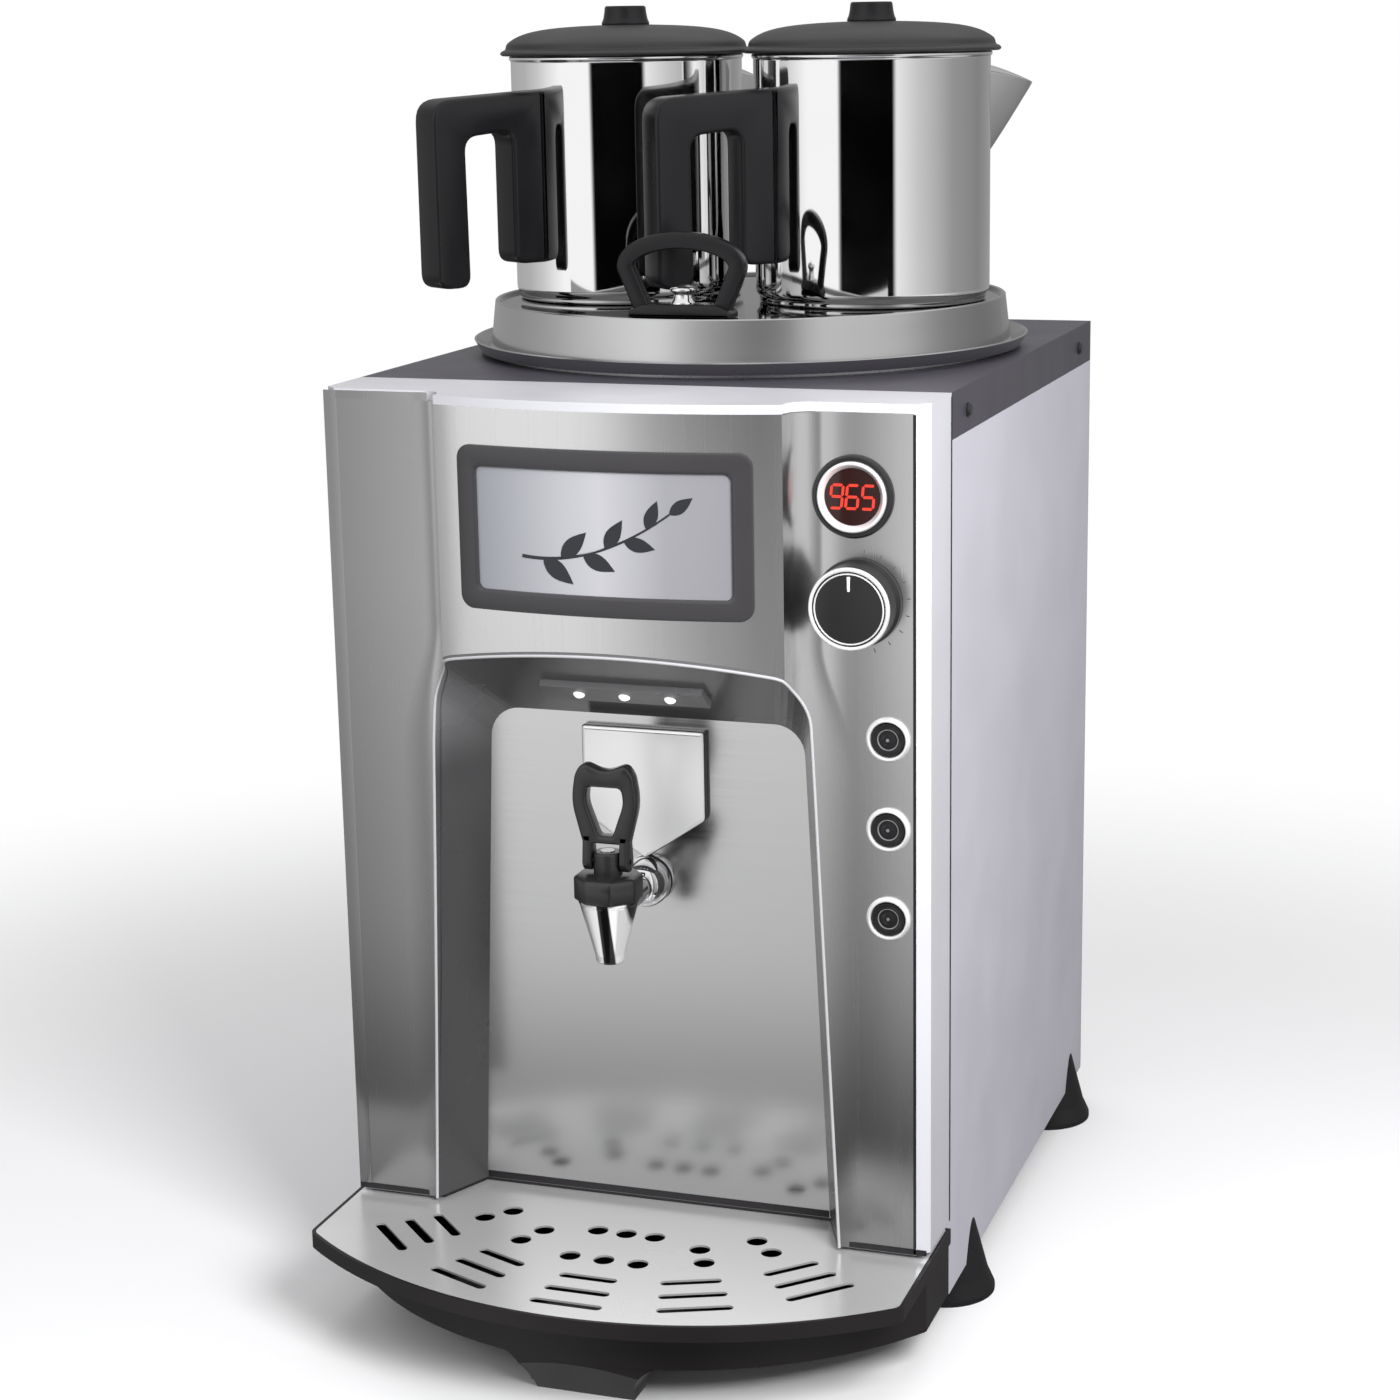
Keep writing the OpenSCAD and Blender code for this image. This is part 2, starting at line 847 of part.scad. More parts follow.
// The space of the recess, which widens and rises from its back wall to the front
module recess_space(grow) {
    translate([0, panel_y, cover_z])
        rotate([90, 0, 0])
            linear_extrude(recess_run, scale = [recess_wide, recess_tall], slices = 1, $fn = 4)
                polygon(recess_outline(grow));
}

module control_holes() {
    translate([thermometer_x, 0, thermometer_z])
        rod_y(barrel_r + fit, column_y - 1, column_y + cover_wall + 1);
    translate([knob_x, 0, knob_z])
        rod_y(neck_r + fit, column_y - 1, column_y + cover_wall + 1);
    at_buttons()
        rod_y(button_barrel_r + fit, column_y - 1, column_y + cover_wall + 1);
}

module at_buttons() {
    for (row = [0:2])
        translate([button_x, 0, button_z - row * button_pitch])
            children();
}

module sign_window() {
    translate([0, 0, sign_z])
        upright(column_y, bulge_step + bulge_rise + 1)
            rounded_rect(window_w, window_h, sign_corner);
}

module front_cover() {
    color("#dcdbe2")
        difference() {
            translate([0, 0, cover_z])
                linear_extrude(cover_h)
                    cover_plan(0);
            translate([0, 0, cover_z - 1])
                linear_extrude(cover_h - cover_wall + 1) {
                    cover_plan(cover_wall);
                    translate([-(half_w - cover_wall), front_y - 1])
                        square([body_w - 2 * cover_wall, 2]);
                }
            translate([0, 0, cover_z - 1])
                linear_extrude(skin_top_z - cover_z + 1)
                    skin_zone(skin_t);
            recess_space(liner_wall + fit);
            control_holes();
            sign_window();
        }
}

module front_skin() {
    color("#b9b8bb")
        difference() {
            translate([0, 0, cover_z])
                linear_extrude(skin_top_z - cover_z)
                    intersection() {
                        skin_zone(skin_t - fit);
                        cover_plan(0);
                    }
            recess_space(liner_wall + fit);
            control_holes();
            sign_window();
        }
}

module recess_liner() {
    color("#59585b")
        difference() {
            intersection() {
                recess_space(liner_wall);
                translate([0, 0, cover_z])
                    linear_extrude(cover_h)
                        cover_plan(0);
            }
            recess_space(0);
        }
}

// Stainless pan in front of the casing: its face is the back wall of the recess
module front_panel() {
    color("#c6c5c8")
        difference() {
            box([-panel_half, panel_y, cover_z], [panel_half, front_y, top_z - cover_wall - 2]);
            box([-panel_half + sheet, panel_y + sheet, cover_z + sheet],
                [panel_half - sheet, front_y + 1, top_z - cover_wall - 2 - sheet]);
            translate([0, 0, shank_z])
                rod_y(tap_shank_d / 2 + fit, panel_y - 1, front_y);
        }
}

module tongue_slots() {
    for (side = [-1, 1])
        box([side * tongue_x - tongue_w / 2 - clear, front_y - web_t - 1, tongue_z - clear],
            [side * tongue_x + tongue_w / 2 + clear, front_y + 2 * sheet + 1, tongue_z + tongue_h + clear]);
}

// Black frame that carries the cover, over the back of the tray
module front_plinth() {
    color("#1d1c1e")
        difference() {
            union() {
                translate([0, 0, tray_z + clear])
                    linear_extrude(cover_z - tray_z - clear)
                        cover_plan(cover_wall + 1);
                box([-half_w + cover_wall + 1, front_y - web_t, base_z],
                    [half_w - cover_wall - 1, front_y, cover_z]);
            }
            recess_space(0);
            tongue_slots();
        }
}

// Light under the recess's ceiling

module on_ceiling() {
    translate([0, panel_y, recess_top_z])
        rotate([-ceiling_angle, 0, 0])
            children();
}

module light_bar() {
    color("#8a898c")
        on_ceiling()
            box([-light_w / 2, -light_back - light_d / 2, -light_h],
                [light_w / 2, -light_back + light_d / 2, 0]);
}

module light_leds() {
    color("white")
        on_ceiling()
            for (place = [-1:1])
                translate([place * led_pitch, -light_back, -light_h])
                    intersection() {
                        translate([0, 0, -led_d / 2])
                            cylinder(d = led_d, h = led_d / 2);
                        translate([0, 0, led_d / 4])
                            sphere(d = led_d * 1.2);
                    }
}

// Sign, curved with the bulge

module on_bulge(w, h, corner, from_r, to_r) {
    intersection() {
        translate([0, 0, sign_z])
            upright(column_y, bulge_step + bulge_rise + sign_proud + 1)
                rounded_rect(w, h, corner);
        translate([0, bulge_centre_y, sign_z - sign_h / 2 - 1])
            linear_extrude(sign_h + 2)
                difference() {
                    circle(r = to_r, $fn = 360);
                    circle(r = from_r, $fn = 360);
                }
    }
}

module sign_frame() {
    color("#454346")
        difference() {
            union() {
                on_bulge(sign_w, sign_h, sign_corner, bulge_r + fit, bulge_r + sign_proud);
                on_bulge(window_w - 2 * fit, window_h - 2 * fit, sign_corner - fit,
                    bulge_r - cover_wall, bulge_r + sign_proud / 2);
            }
            on_bulge(sign_open_w, sign_open_h, sign_open_corner,
                bulge_r - cover_wall - 1, bulge_r + sign_proud + 1);
        }
}

module sign_panel() {
    color("#b4b7c1")
        on_bulge(sign_open_w - 2 * fit, sign_open_h - 2 * fit, sign_open_corner,
            bulge_r - cover_wall, bulge_r - cover_wall + pane_t);
}

// Tray behind the sign that holds its lamps: its edge follows the inside of the cover
module sign_lamp() {
    color("#f0f0f0")
        difference() {
            intersection() {
                box([-window_w / 2 - lamp_wall, bulge_y, sign_z - window_h / 2 - lamp_wall],
                    [window_w / 2 + lamp_wall, bulge_y + cover_wall + lamp_depth,
                        sign_z + window_h / 2 + lamp_wall]);
                translate([0, bulge_centre_y, sign_z - sign_h])
                    cylinder(r = bulge_r - cover_wall - 2 * fit, h = 2 * sign_h, $fn = 360);
            }
            box([-window_w / 2, bulge_y - 1, sign_z - window_h / 2],
                [window_w / 2, bulge_y + cover_wall + lamp_depth - lamp_wall, sign_z + window_h / 2]);
        }
}

// Thermometer

module thermometer_case() {
    color("#1b1b1d")
        turned_ahead(thermometer_x, thermometer_z, [
            [0, -thermometer_depth], [barrel_r, -thermometer_depth], [barrel_r, clear],
            [thermometer_d / 2, clear], [thermometer_d / 2 - 1, flange_proud],
            [window_d / 2, flange_proud], [window_d / 2, 1], [0, 1]
        ]);
}

module thermometer_ring() {
    color("#d8d8da")
        turned_ahead(thermometer_x, thermometer_z, [
            [window_d / 2, flange_proud], [thermometer_ring_d / 2, flange_proud],
            [thermometer_ring_d / 2 - 0.6, flange_proud + 2], [window_d / 2 + 1, flange_proud + 2]
        ]);
}

module thermometer_window() {
    color("#3a0a08")
        turned_ahead(thermometer_x, thermometer_z, [
            [0, 1], [window_d / 2 - fit, 1], [window_d / 2 - fit, flange_proud], [0, flange_proud]
        ]);
}

// Thermostat and its knob

module thermostat() {
    color("#6d6d72")
        turned_ahead(knob_x, knob_z, [
            [0, -cover_wall - thermostat_depth], [thermostat_d / 2, -cover_wall - thermostat_depth],
            [thermostat_d / 2, -cover_wall], [neck_r, -cover_wall], [neck_r, 0], [shaft_d / 2, 0],
            [shaft_d / 2, shaft_out], [0, shaft_out]
        ]);
}

// Turned knob with a pointer groove, upwards at rest
module thermostat_knob() {
    color("#262629")
        difference() {
            turned_ahead(knob_x, knob_z, [
                [shaft_d / 2 + fit, clear], [knob_d / 2, clear], [knob_d / 2, 5], [knob_grip_d / 2, 6.5],
                [knob_grip_d / 2, knob_h - ring_proud], [knob_grip_d / 2 - knob_ring_w, knob_h - ring_proud],
                [knob_grip_d / 2 - knob_ring_w, knob_h - 1], [0, knob_h - 1],
                [0, shaft_out + 1], [shaft_d / 2 + fit, shaft_out + 1]
            ]);
            translate([knob_x, column_y - knob_h, knob_z])
                box([-pointer_w / 2, 0, knob_grip_d / 2 - knob_ring_w - 1 - pointer_l],
                    [pointer_w / 2, 1 + pointer_depth, knob_grip_d / 2 - knob_ring_w - 1]);
        }
}

module knob_ring() {
    color("#dededf")
        turned_ahead(knob_x, knob_z, [
            [knob_grip_d / 2 - knob_ring_w + fit, knob_h - ring_proud], [knob_grip_d / 2, knob_h - ring_proud],
            [knob_grip_d / 2 - 0.8, knob_h], [knob_grip_d / 2 - knob_ring_w + fit, knob_h]
        ]);
}

// Push buttons

module button_bezels() {
    color("#d8d8da")
        for (row = [0:2])
            turned_ahead(button_x, button_z - row * button_pitch, [
                [cap_d / 2 + cap_gap, -barrel_depth], [button_barrel_r, -barrel_depth], [button_barrel_r, 0],
                [bezel_d / 2, 0], [bezel_d / 2, 1.2], [bezel_d / 2 - 1.2, flange_proud],
                [cap_d / 2 + cap_gap, flange_proud]
            ]);
}

module switch_bodies() {
    color("#2a2a2c")
        for (row = [0:2])
            turned_ahead(button_x, button_z - row * button_pitch, [
                [plunger_r + fit, -barrel_depth], [button_barrel_r, -barrel_depth],
                [button_barrel_r, -barrel_depth - switch_depth], [0, -barrel_depth - switch_depth],
                [0, -barrel_depth - switch_depth + 2], [plunger_r + fit, -barrel_depth - switch_depth + 2]
            ]);
}

module button_cap(row) {
    color("#151516")
        turned_ahead(button_x, button_z - row * button_pitch, [
            [0, -barrel_depth - 3], [plunger_r, -barrel_depth - 3], [plunger_r, -cap_back],
            [cap_d / 2, -cap_back], [cap_d / 2, 1.6], [cap_d / 2 - 1, 2.4], [cap_d / 4, 0.6],
            [cap_d / 6, 1.4], [0, 1.8]
        ]);
}

// Tap

module at_tap() {
    translate([0, tap_y, 0])
        children();
}

module tap_plate() {
    color("#e4e4e6")
        upright(panel_y, plate_t)
            polygon([
                [-plate_w / 2, plate_top_z], [-plate_w / 2, plate_side_z], [0, plate_point_z],
                [plate_w / 2, plate_side_z], [plate_w / 2, plate_top_z]
            ]);
}

module tap_body() {
    color("#e0e0e2")
        difference() {
            union() {
                at_tap()
                    turned_up([
                        [0, nozzle_z], [nozzle_d / 2 - 0.8, nozzle_z], [nozzle_d / 2, nozzle_z + 1],
                        [nozzle_d / 2 + 0.5, nozzle_z + 5], [cone_d / 2, bonnet_z - 1.5],
                        [cone_d / 2, bonnet_z], [thread_r, bonnet_z], [thread_r, bonnet_z + neck_h],
                        [0, bonnet_z + neck_h]
                    ]);
                translate([0, 0, shank_z])
                    rod_y(tap_shank_d / 2, tap_y, shank_end_y);
                intersection() {
                    translate([0, panel_y - gasket_t - ball_sink, shank_z])
                        sphere(d = ball_d);
                    box([-ball_d, panel_y - ball_d - gasket_t, shank_z - ball_d],
                        [ball_d, panel_y - gasket_t, shank_z + ball_d]);
                }
            }
            at_tap()
                translate([0, 0, chamber_z])
                    cylinder(r = chamber_r, h = bonnet_z + neck_h + 1 - chamber_z);
            at_tap()
                translate([0, 0, nozzle_z - 1])
                    cylinder(d = nozzle_d - 4, h = chamber_z - nozzle_z + 2);
            translate([0, 0, shank_z])
                rod_y(tap_shank_d / 2 - 3, tap_y, shank_end_y + 1);
        }
}

module tap_gasket() {
    color("#3a3a3c")
        translate([0, 0, shank_z])
            difference() {
                rod_y(ball_d / 2 - 1, panel_y - gasket_t, panel_y);
                rod_y(tap_shank_d / 2 + fit, panel_y - gasket_t - 1, panel_y + 1);
            }
}

module tap_nut() {
    color("#c8b070")
        translate([0, 0, shank_z])
            difference() {
                translate([0, panel_y + sheet, 0])
                    rotate([-90, 0, 0])
                        cylinder(r = tap_shank_d / 2 + 6, h = 7, $fn = 6);
                rod_y(tap_shank_d / 2 + fit, panel_y, front_y);
            }
}

// Eight-sided collar screwed over the tap's neck, with the boss that carries the lever
module tap_bonnet() {
    color("#232325")
        at_tap()
            difference() {
                union() {
                    translate([0, 0, bonnet_z])
                        rotate([0, 0, 22.5])
                            cylinder(r = bonnet_d / 2 / cos(22.5), h = bonnet_h, $fn = 8);
                    translate([0, 0, bonnet_z + bonnet_h - 1])
                        cylinder(d = boss_d, h = boss_h + 1);
                }
                translate([0, 0, bonnet_z - 1])
                    cylinder(r = thread_r + fit, h = neck_h + 1);
                translate([0, 0, bonnet_z])
                    cylinder(d = stem_d + 2 * fit, h = bonnet_h + boss_h + 1);
                translate([0, 0, pivot_z])
                    rod_x(pin_d / 2 + fit, -boss_d, boss_d);
            }
}

module tap_stem() {
    color("#cfcfd1")
        at_tap()
            difference() {
                translate([0, 0, stem_z])
                    cylinder(d = stem_d, h = stem_top_z - stem_z);
                box([-stem_d, -pin_d / 2 - fit, pivot_z - pin_d / 2 - stem_lift - clear],
                    [stem_d, pin_d / 2 + fit, pivot_z + pin_d / 2 + fit]);
            }
}

// Silicone cup on the foot of the stem, which closes the nozzle
module seat_cup() {
    color("#d9d4cc")
        at_tap()
            difference() {
                turned_up([
                    [0, chamber_z + clear], [nozzle_d / 2, chamber_z + clear],
                    [nozzle_d / 2 + 0.6, chamber_z + 3], [stem_d / 2 + 2, chamber_z + 7],
                    [stem_d / 2 + 2, chamber_z + 12], [0, chamber_z + 12]
                ]);
                translate([0, 0, stem_z])
                    cylinder(d = stem_d + 2 * fit, h = 20);
            }
}

// Outline of the loop: flared from the prongs to two ears with a dip between them
function loop_outline(grow) = [
    [-prong_x - prong_t - grow, lever_foot_z - 6],
    [-lever_w / 2 - grow, lever_foot_z + lever_h * 0.42],
    [-lever_w / 2 + 2.5 - grow, lever_top_z - 6],
    [-lever_w / 2 + 7 - grow / 2, lever_top_z + grow],
    [0, lever_top_z - 5 + grow],
    [lever_w / 2 - 7 + grow / 2, lever_top_z + grow],
    [lever_w / 2 - 2.5 + grow, lever_top_z - 6],
    [lever_w / 2 + grow, lever_foot_z + lever_h * 0.42],
    [prong_x + prong_t + grow, lever_foot_z - 6]
];

module tap_lever() {
    color("#262628")
        at_tap()
            difference() {
                union() {
                    upright(lever_t / 2, lever_t)
                        difference() {
                            offset(r = 2, $fn = 32)
                                polygon(loop_outline(-2));
                            offset(r = 2, $fn = 32)
                                polygon([
                                    [-2, lever_foot_z + 6],
                                    [-lever_w / 2 + lever_band + 2, lever_foot_z + lever_h * 0.42],
                                    [-lever_w / 2 + lever_band + 3, lever_top_z - lever_band - 7],
                                    [lever_w / 2 - lever_band - 3, lever_top_z - lever_band - 7],
                                    [lever_w / 2 - lever_band - 2, lever_foot_z + lever_h * 0.42],
                                    [2, lever_foot_z + 6]
                                ]);
                            translate([-prong_x, lever_foot_z - 8])
                                square([2 * prong_x, 8]);
                        }
                    both_sides()
                        box([prong_x, -lever_t / 2, pivot_z], [prong_x + prong_t, lever_t / 2, lever_foot_z]);
                    translate([0, 0, pivot_z])
                        both_sides()
                            rod_x(lever_t / 2 + 1.5, prong_x, prong_x + prong_t);
                }
                translate([0, 0, pivot_z])
                    rod_x(pin_d / 2 + fit, -lever_w, lever_w);
            }
}

module lever_pin() {
    color("#cfcfd1")
        at_tap()
            translate([0, 0, pivot_z])
                rod_x(pin_d / 2, -pin_half, pin_half);
}

// Boiler

module boiler_tank() {
    color("#cdccd0")
        difference() {
            union() {
                turned_up([
                    [0, tank_z], [tank_r - 12, tank_z], [tank_r, tank_z + 12], [tank_r, top_z],
                    [tank_flange_r, top_z], [tank_flange_r, seal_z], [tank_r - sheet, seal_z],
                    [tank_r - sheet, tank_z + 12.6], [tank_r - 12.6, tank_z + sheet], [0, tank_z + sheet]
                ]);
                difference() {
                    translate([0, 0, shank_z])
                        rod_y(socket_r, -tank_r - 10, -tank_r + 8);
                    translate([0, 0, tank_z])
                        cylinder(r = tank_r - sheet, h = top_z - tank_z, $fn = 180);
                }
            }
            translate([0, 0, shank_z])
                rod_y(tap_shank_d / 2 + fit, -tank_r - 11, -tank_r + 20);
            at_heater_legs()
                translate([0, 0, tank_z - 1])
                    cylinder(d = heater_d + 2 * fit, h = sheet + 2);
            translate([0, 0, probe_z])
                rod_x(probe_d / 2 + fit, tank_r - 10, tank_r + 10);
        }
}

module tank_seal() {
    color("#e8e4dc")
        turned_up([
            [tank_r, seal_z], [tank_flange_r - 1, seal_z], [tank_flange_r - 1, seat_z - clear],
            [tank_r, seat_z - clear]
        ]);
}

module at_heater_legs() {
    for (angle = [90 - heater_gap / 2, 90 + heater_gap / 2])
        rotate([0, 0, angle])
            translate([heater_r, 0, 0])
                children();
}

// Open ring with two legs that leave through the tank's floor
module heating_element() {
    color("#9c9a96") {
        translate([0, 0, tank_z + heater_rise])
            rotate([0, 0, 90 + heater_gap / 2])
                rotate_extrude(angle = 360 - heater_gap)
                    translate([heater_r, 0])
                        circle(d = heater_d);
        at_heater_legs() {
            translate([0, 0, tank_z - 22])
                cylinder(d = heater_d, h = heater_rise + 22);
            translate([0, 0, tank_z + heater_rise - heater_d])
                cylinder(d = heater_d + 2, h = 2 * heater_d);
        }
    }
}

module heater_flange() {
    color("#b8a060")
        difference() {
            box([-heater_r * sin(heater_gap / 2) - 14, heater_r * cos(heater_gap / 2) - 14, tank_z - 4],
                [heater_r * sin(heater_gap / 2) + 14, heater_r * cos(heater_gap / 2) + 14, tank_z]);
            at_heater_legs()
                translate([0, 0, tank_z - 5])
                    cylinder(d = heater_d + 2 * fit, h = 6);
        }
}

module temperature_probe() {
    color("#c0c0c4")
        translate([0, 0, probe_z]) {
            rod_x(probe_d / 2, tank_r - probe_l, tank_r + 10);
            difference() {
                translate([tank_r - 2, 0, 0])
                    rotate([0, 90, 0])
                        cylinder(r = probe_d / 2 + 4, h = 8, $fn = 6);
                translate([0, 0, -20])
                    cylinder(r = tank_r + fit, h = 40, $fn = 180);
            }
        }
}

// Drip tray: straight sides, an arc in front and rounded corners, moved inwards by t
module tray_plan(t) {
    difference() {
        intersection() {
            translate([0, tray_arc_y])
                circle(r = tray_front_r - t, $fn = 360);
            translate([-(tray_half - t), tray_front_y])
                square([2 * (tray_half - t), tray_back_y - t - tray_front_y]);
        }
        both_sides()
            translate([corner_x, corner_y])
                difference() {
                    polygon([
                        [0, 0], 2 * tray_corner * [1, 0], 3 * tray_corner * [1, -1],
                        2 * tray_corner * [corner_x, corner_y - tray_arc_y] / corner_run
                    ]);
                    circle(r = tray_corner - t - corner_cut);
                }
    }
}

// Tub under the lip, tighter in front, moved inwards by t
module tub_plan(t) {
    intersection() {
        tray_plan(t + lip_over);
        translate([0, tub_front_y + tub_r])
            circle(r = tub_r - t, $fn = 360);
    }
}

// Foot under the middle of the tub's front, raked backwards, with a cove on each side
module tray_foot() {
    intersection() {
        upright(tub_front_y + foot_depth, foot_depth) {
            polygon([
                [-foot_w / 2, 0], [foot_w / 2, 0], [foot_w / 2 + 4, tray_bottom_z + 1],
                [-foot_w / 2 - 4, tray_bottom_z + 1]
            ]);
            both_sides()
                difference() {
                    translate([foot_w / 2, tray_bottom_z - foot_cove])
                        square([foot_cove + 2, foot_cove + 1]);
                    translate([foot_w / 2 + 2 + foot_cove, tray_bottom_z - foot_cove])
                        circle(r = foot_cove);
                }
        }
        linear_extrude(tray_z)
            tub_plan(2);
        rotate([90, 0, 90])
            linear_extrude(4 * foot_w, center = true)
                polygon([
                    [tub_front_y, tray_bottom_z + 1], [tub_front_y + foot_rake, 0], [tub_front_y + foot_depth, 0],
                    [tub_front_y + foot_depth, tray_bottom_z + 1]
                ]);
    }
}

module drip_tray() {
    color("#2b2628")
        difference() {
            union() {
                translate([0, 0, tray_z - lip_h])
                    linear_extrude(lip_h)
                        tray_plan(0);
                translate([0, 0, tray_bottom_z])
                    linear_extrude(tray_h - lip_h + 1)
                        tub_plan(0);
                tray_foot();
                for (side = [-1, 1])
                    box([side * tongue_x - tongue_w / 2, tray_back_y - lip_over - 1, tongue_z],
                        [side * tongue_x + tongue_w / 2, front_y + tongue_l, tongue_z + tongue_h]);
            }
            translate([0, 0, tray_bottom_z + tray_wall])
                linear_extrude(tray_h)
                    tub_plan(tray_wall);
            translate([0, 0, tray_z - lip_h + tray_wall])
                linear_extrude(tray_h)
                    tray_plan(tray_wall + 4);
            translate([0, 0, tray_z - plate_sheet])
                linear_extrude(tray_h)
                    tray_plan(tray_wall - 1);
        }
}

// One group of slots on three arcs about the fan's centre
module slot_group() {
    for (row = [0:2])
        translate([0, -slot_r + row * slot_pitch])
            slot(slot_l * (slot_r - row * slot_pitch) / slot_r, slot_w);
}

module drain_holes() {
    for (angle = [-2 * slot_angle, -1.18 * slot_angle, 1.18 * slot_angle, 2 * slot_angle], row = [0, 1])
        rotate(angle)
            translate([0, -slot_r + 3.4 * slot_pitch + row * slot_pitch * 1.05])
                circle(d = drain_d);
    for (place = [-1:1]) {
        translate([place * 1.7 * drain_d, -slot_r + 3.45 * slot_pitch])
            circle(d = drain_d);
        translate([place * 1.45 * drain_d, -slot_r + 5.6 * slot_pitch])
            circle(d = drain_d);
    }
}

module drip_plate() {
    color("#cfcfd0")
        translate([0, 0, tray_z - plate_sheet])
            linear_extrude(plate_sheet)
                difference() {
                    tray_plan(tray_wall - 1 + clear);
                    translate([0, slot_centre_y]) {
                        for (group = [-2:2])
                            rotate(group * slot_angle)
                                slot_group();
                        drain_holes();
                    }
                }
}

// Steam dish: deck, rim, flared wall, gutter and the ring that seats on the tank's seal
module steam_dish() {
    foot_r = dish_r + dish_flare;
    lip_r = dish_r + dish_flare + gutter_w;
    color("#d6d6d7")
        difference() {
            turned_up([
                [0, deck_z], [dish_r - 4, deck_z], [dish_r - 2.5, rim_z - 0.4], [dish_r - 2, rim_z],
                [dish_r - 0.6, rim_z], [dish_r, rim_z - 0.6], [foot_r, gutter_z + 3], [foot_r + 3.5, gutter_z],
                [foot_r + 6, gutter_z], [lip_r - 0.6, gutter_z + gutter_h],
                [lip_r + 0.6, gutter_z + gutter_h - 0.6],
                [foot_r + 6.6, gutter_z - dish_t], [foot_r + 3, gutter_z - dish_t], [foot_r - 1.5, seat_z],
                [tank_r - 2, seat_z], [tank_r - 2, seat_z + dish_t], [foot_r - dish_t - 0.5, seat_z + dish_t],
                [dish_r - dish_t, deck_z - dish_t], [0, deck_z - dish_t]
            ]);
            for (side = [-1, 1])
                translate([side * pot_x, 0, deck_z - 5])
                    cylinder(d = steam_hole_d, h = 10);
            translate([0, -loop_y, deck_z - 5])
                cylinder(r = stud_r + fit, h = 10);
        }
}

// Half an ellipse on two legs that lean inwards, moved inwards by t
function loop_shape(t) = concat(
    [[loop_leg_w / 2 - t, deck_z + 1]],
    [for (angle = [0:7.5:180])
        [(loop_w / 2 - t) * cos(angle), deck_z + loop_waist + (loop_h - loop_waist - t) * sin(angle)]],
    [[t - loop_leg_w / 2, deck_z + 1]]
);

// Loop handle: a flat band that rises from a low base
module loop_handle() {
    color("#242426")
        translate([0, -loop_y, 0])
            difference() {
                union() {
                    upright(loop_t / 2, loop_t)
                        difference() {
                            polygon(loop_shape(0));
                            polygon(loop_shape(loop_band));
                        }
                    upright(loop_base_d / 2, loop_base_d)
                        polygon([
                            [-loop_base_w / 2, deck_z], [loop_base_w / 2, deck_z],
                            [loop_base_w / 2, deck_z + loop_base_h / 2],
                            [loop_base_w / 2 - 8, deck_z + loop_base_h],
                            [8 - loop_base_w / 2, deck_z + loop_base_h],
                            [-loop_base_w / 2, deck_z + loop_base_h / 2]
                        ]);
                }
                translate([0, 0, deck_z - 1])
                    cylinder(r = stud_r + fit, h = loop_base_h + 2);
            }
}

// Cap on a waisted neck, with a stud and a hexagon nut under the deck
module loop_nut() {
    foot_z = deck_z + loop_base_h;
    color("#dcdcde")
        translate([0, -loop_y, 0]) {
            turned_up([
                [0, deck_z - 8], [stud_r, deck_z - 8], [stud_r, foot_z], [nut_d / 2 - 0.5, foot_z],
                [nut_d / 2 - 2, foot_z + 3], [nut_d / 2 - 2.6, foot_z + 6], [nut_d / 2, foot_z + 7.4],
                [nut_d / 2 - 0.6, foot_z + 9], [nut_d / 2 - 3.5, foot_z + 10.6], [0, foot_z + 11.4]
            ]);
            translate([0, 0, deck_z - dish_t - 4])
                cylinder(r = stud_r + 3, h = 4, $fn = 6);
        }
}

// Teapots, modelled with the handle towards +X and then turned

module at_pot(side) {
    translate([side * pot_x, 0, 0])
        rotate([0, 0, side < 0 ? left_bearing : right_bearing])
            children();
}

// Wedge of the spout, moved inwards by t and opened upwards
module spout_wedge(t, up) {
    hull() {
        for (y = [-1, 1])
            translate([-pot_r + 4, y * (spout_w / 2 - t), spout_top_z + up])
                sphere(r = 0.5, $fn = 16);
        translate([-pot_r + 1, 0, spout_top_z - spout_h + 1.6 * t])
            sphere(r = 0.5, $fn = 16);
        translate([-pot_r - spout_l + 1.6 * t, 0, spout_top_z - 12 + up])
            sphere(r = 0.5, $fn = 16);
    }
}

module pot(side) {
    color("#d4d4d6")
        at_pot(side)
            difference() {
                union() {
                    turned_up([
                        [0, pot_z], [pot_base_r - 1, pot_z], [pot_base_r, pot_z + 1],
                        [pot_base_r, pot_z + pot_base_h - 1], [pot_r, pot_z + pot_base_h + 2],
                        [pot_r, pot_rim_z - 2], [pot_r + pot_rim_t, pot_rim_z - 1.4],
                        [pot_r + pot_rim_t, pot_rim_z], [pot_r - pot_wall, pot_rim_z],
                        [pot_r - pot_wall, pot_z + pot_base_h + 2], [pot_base_r - pot_wall, pot_z + pot_base_h],
                        [0, pot_z + pot_base_h]
                    ]);
                    difference() {
                        spout_wedge(0, 0);
                        translate([0, 0, pot_z + pot_base_h])
                            cylinder(r = pot_r - pot_wall, h = pot_h);
                    }
                }
                spout_wedge(pot_wall, 3);
            }
}

// Handle: a bar along the teapot, an arm and a grip that hangs from it
module pot_handle(side) {
    fall = 4;
    grip_in = handle_reach - grip_t;
    color("#2a2a2c")
        at_pot(side)
            difference() {
                upright(handle_w / 2, handle_w)
                    offset(r = handle_round, $fn = 32)
                        offset(delta = -handle_round)
                            polygon([
                                [pot_r - 8, handle_z - bar_l], [pot_r + bar_t, handle_z - bar_l],
                                [pot_r + bar_t, handle_z - grip_t - 1], [grip_in, handle_z - grip_t - fall],
                                [grip_in - 1, handle_z - grip_l - fall],
                                [handle_reach, handle_z - grip_l - fall],
                                [handle_reach, handle_z - fall], [pot_r - 8, handle_z]
                            ]);
                translate([0, 0, pot_z])
                    cylinder(r = pot_r + fit, h = pot_h);
            }
}

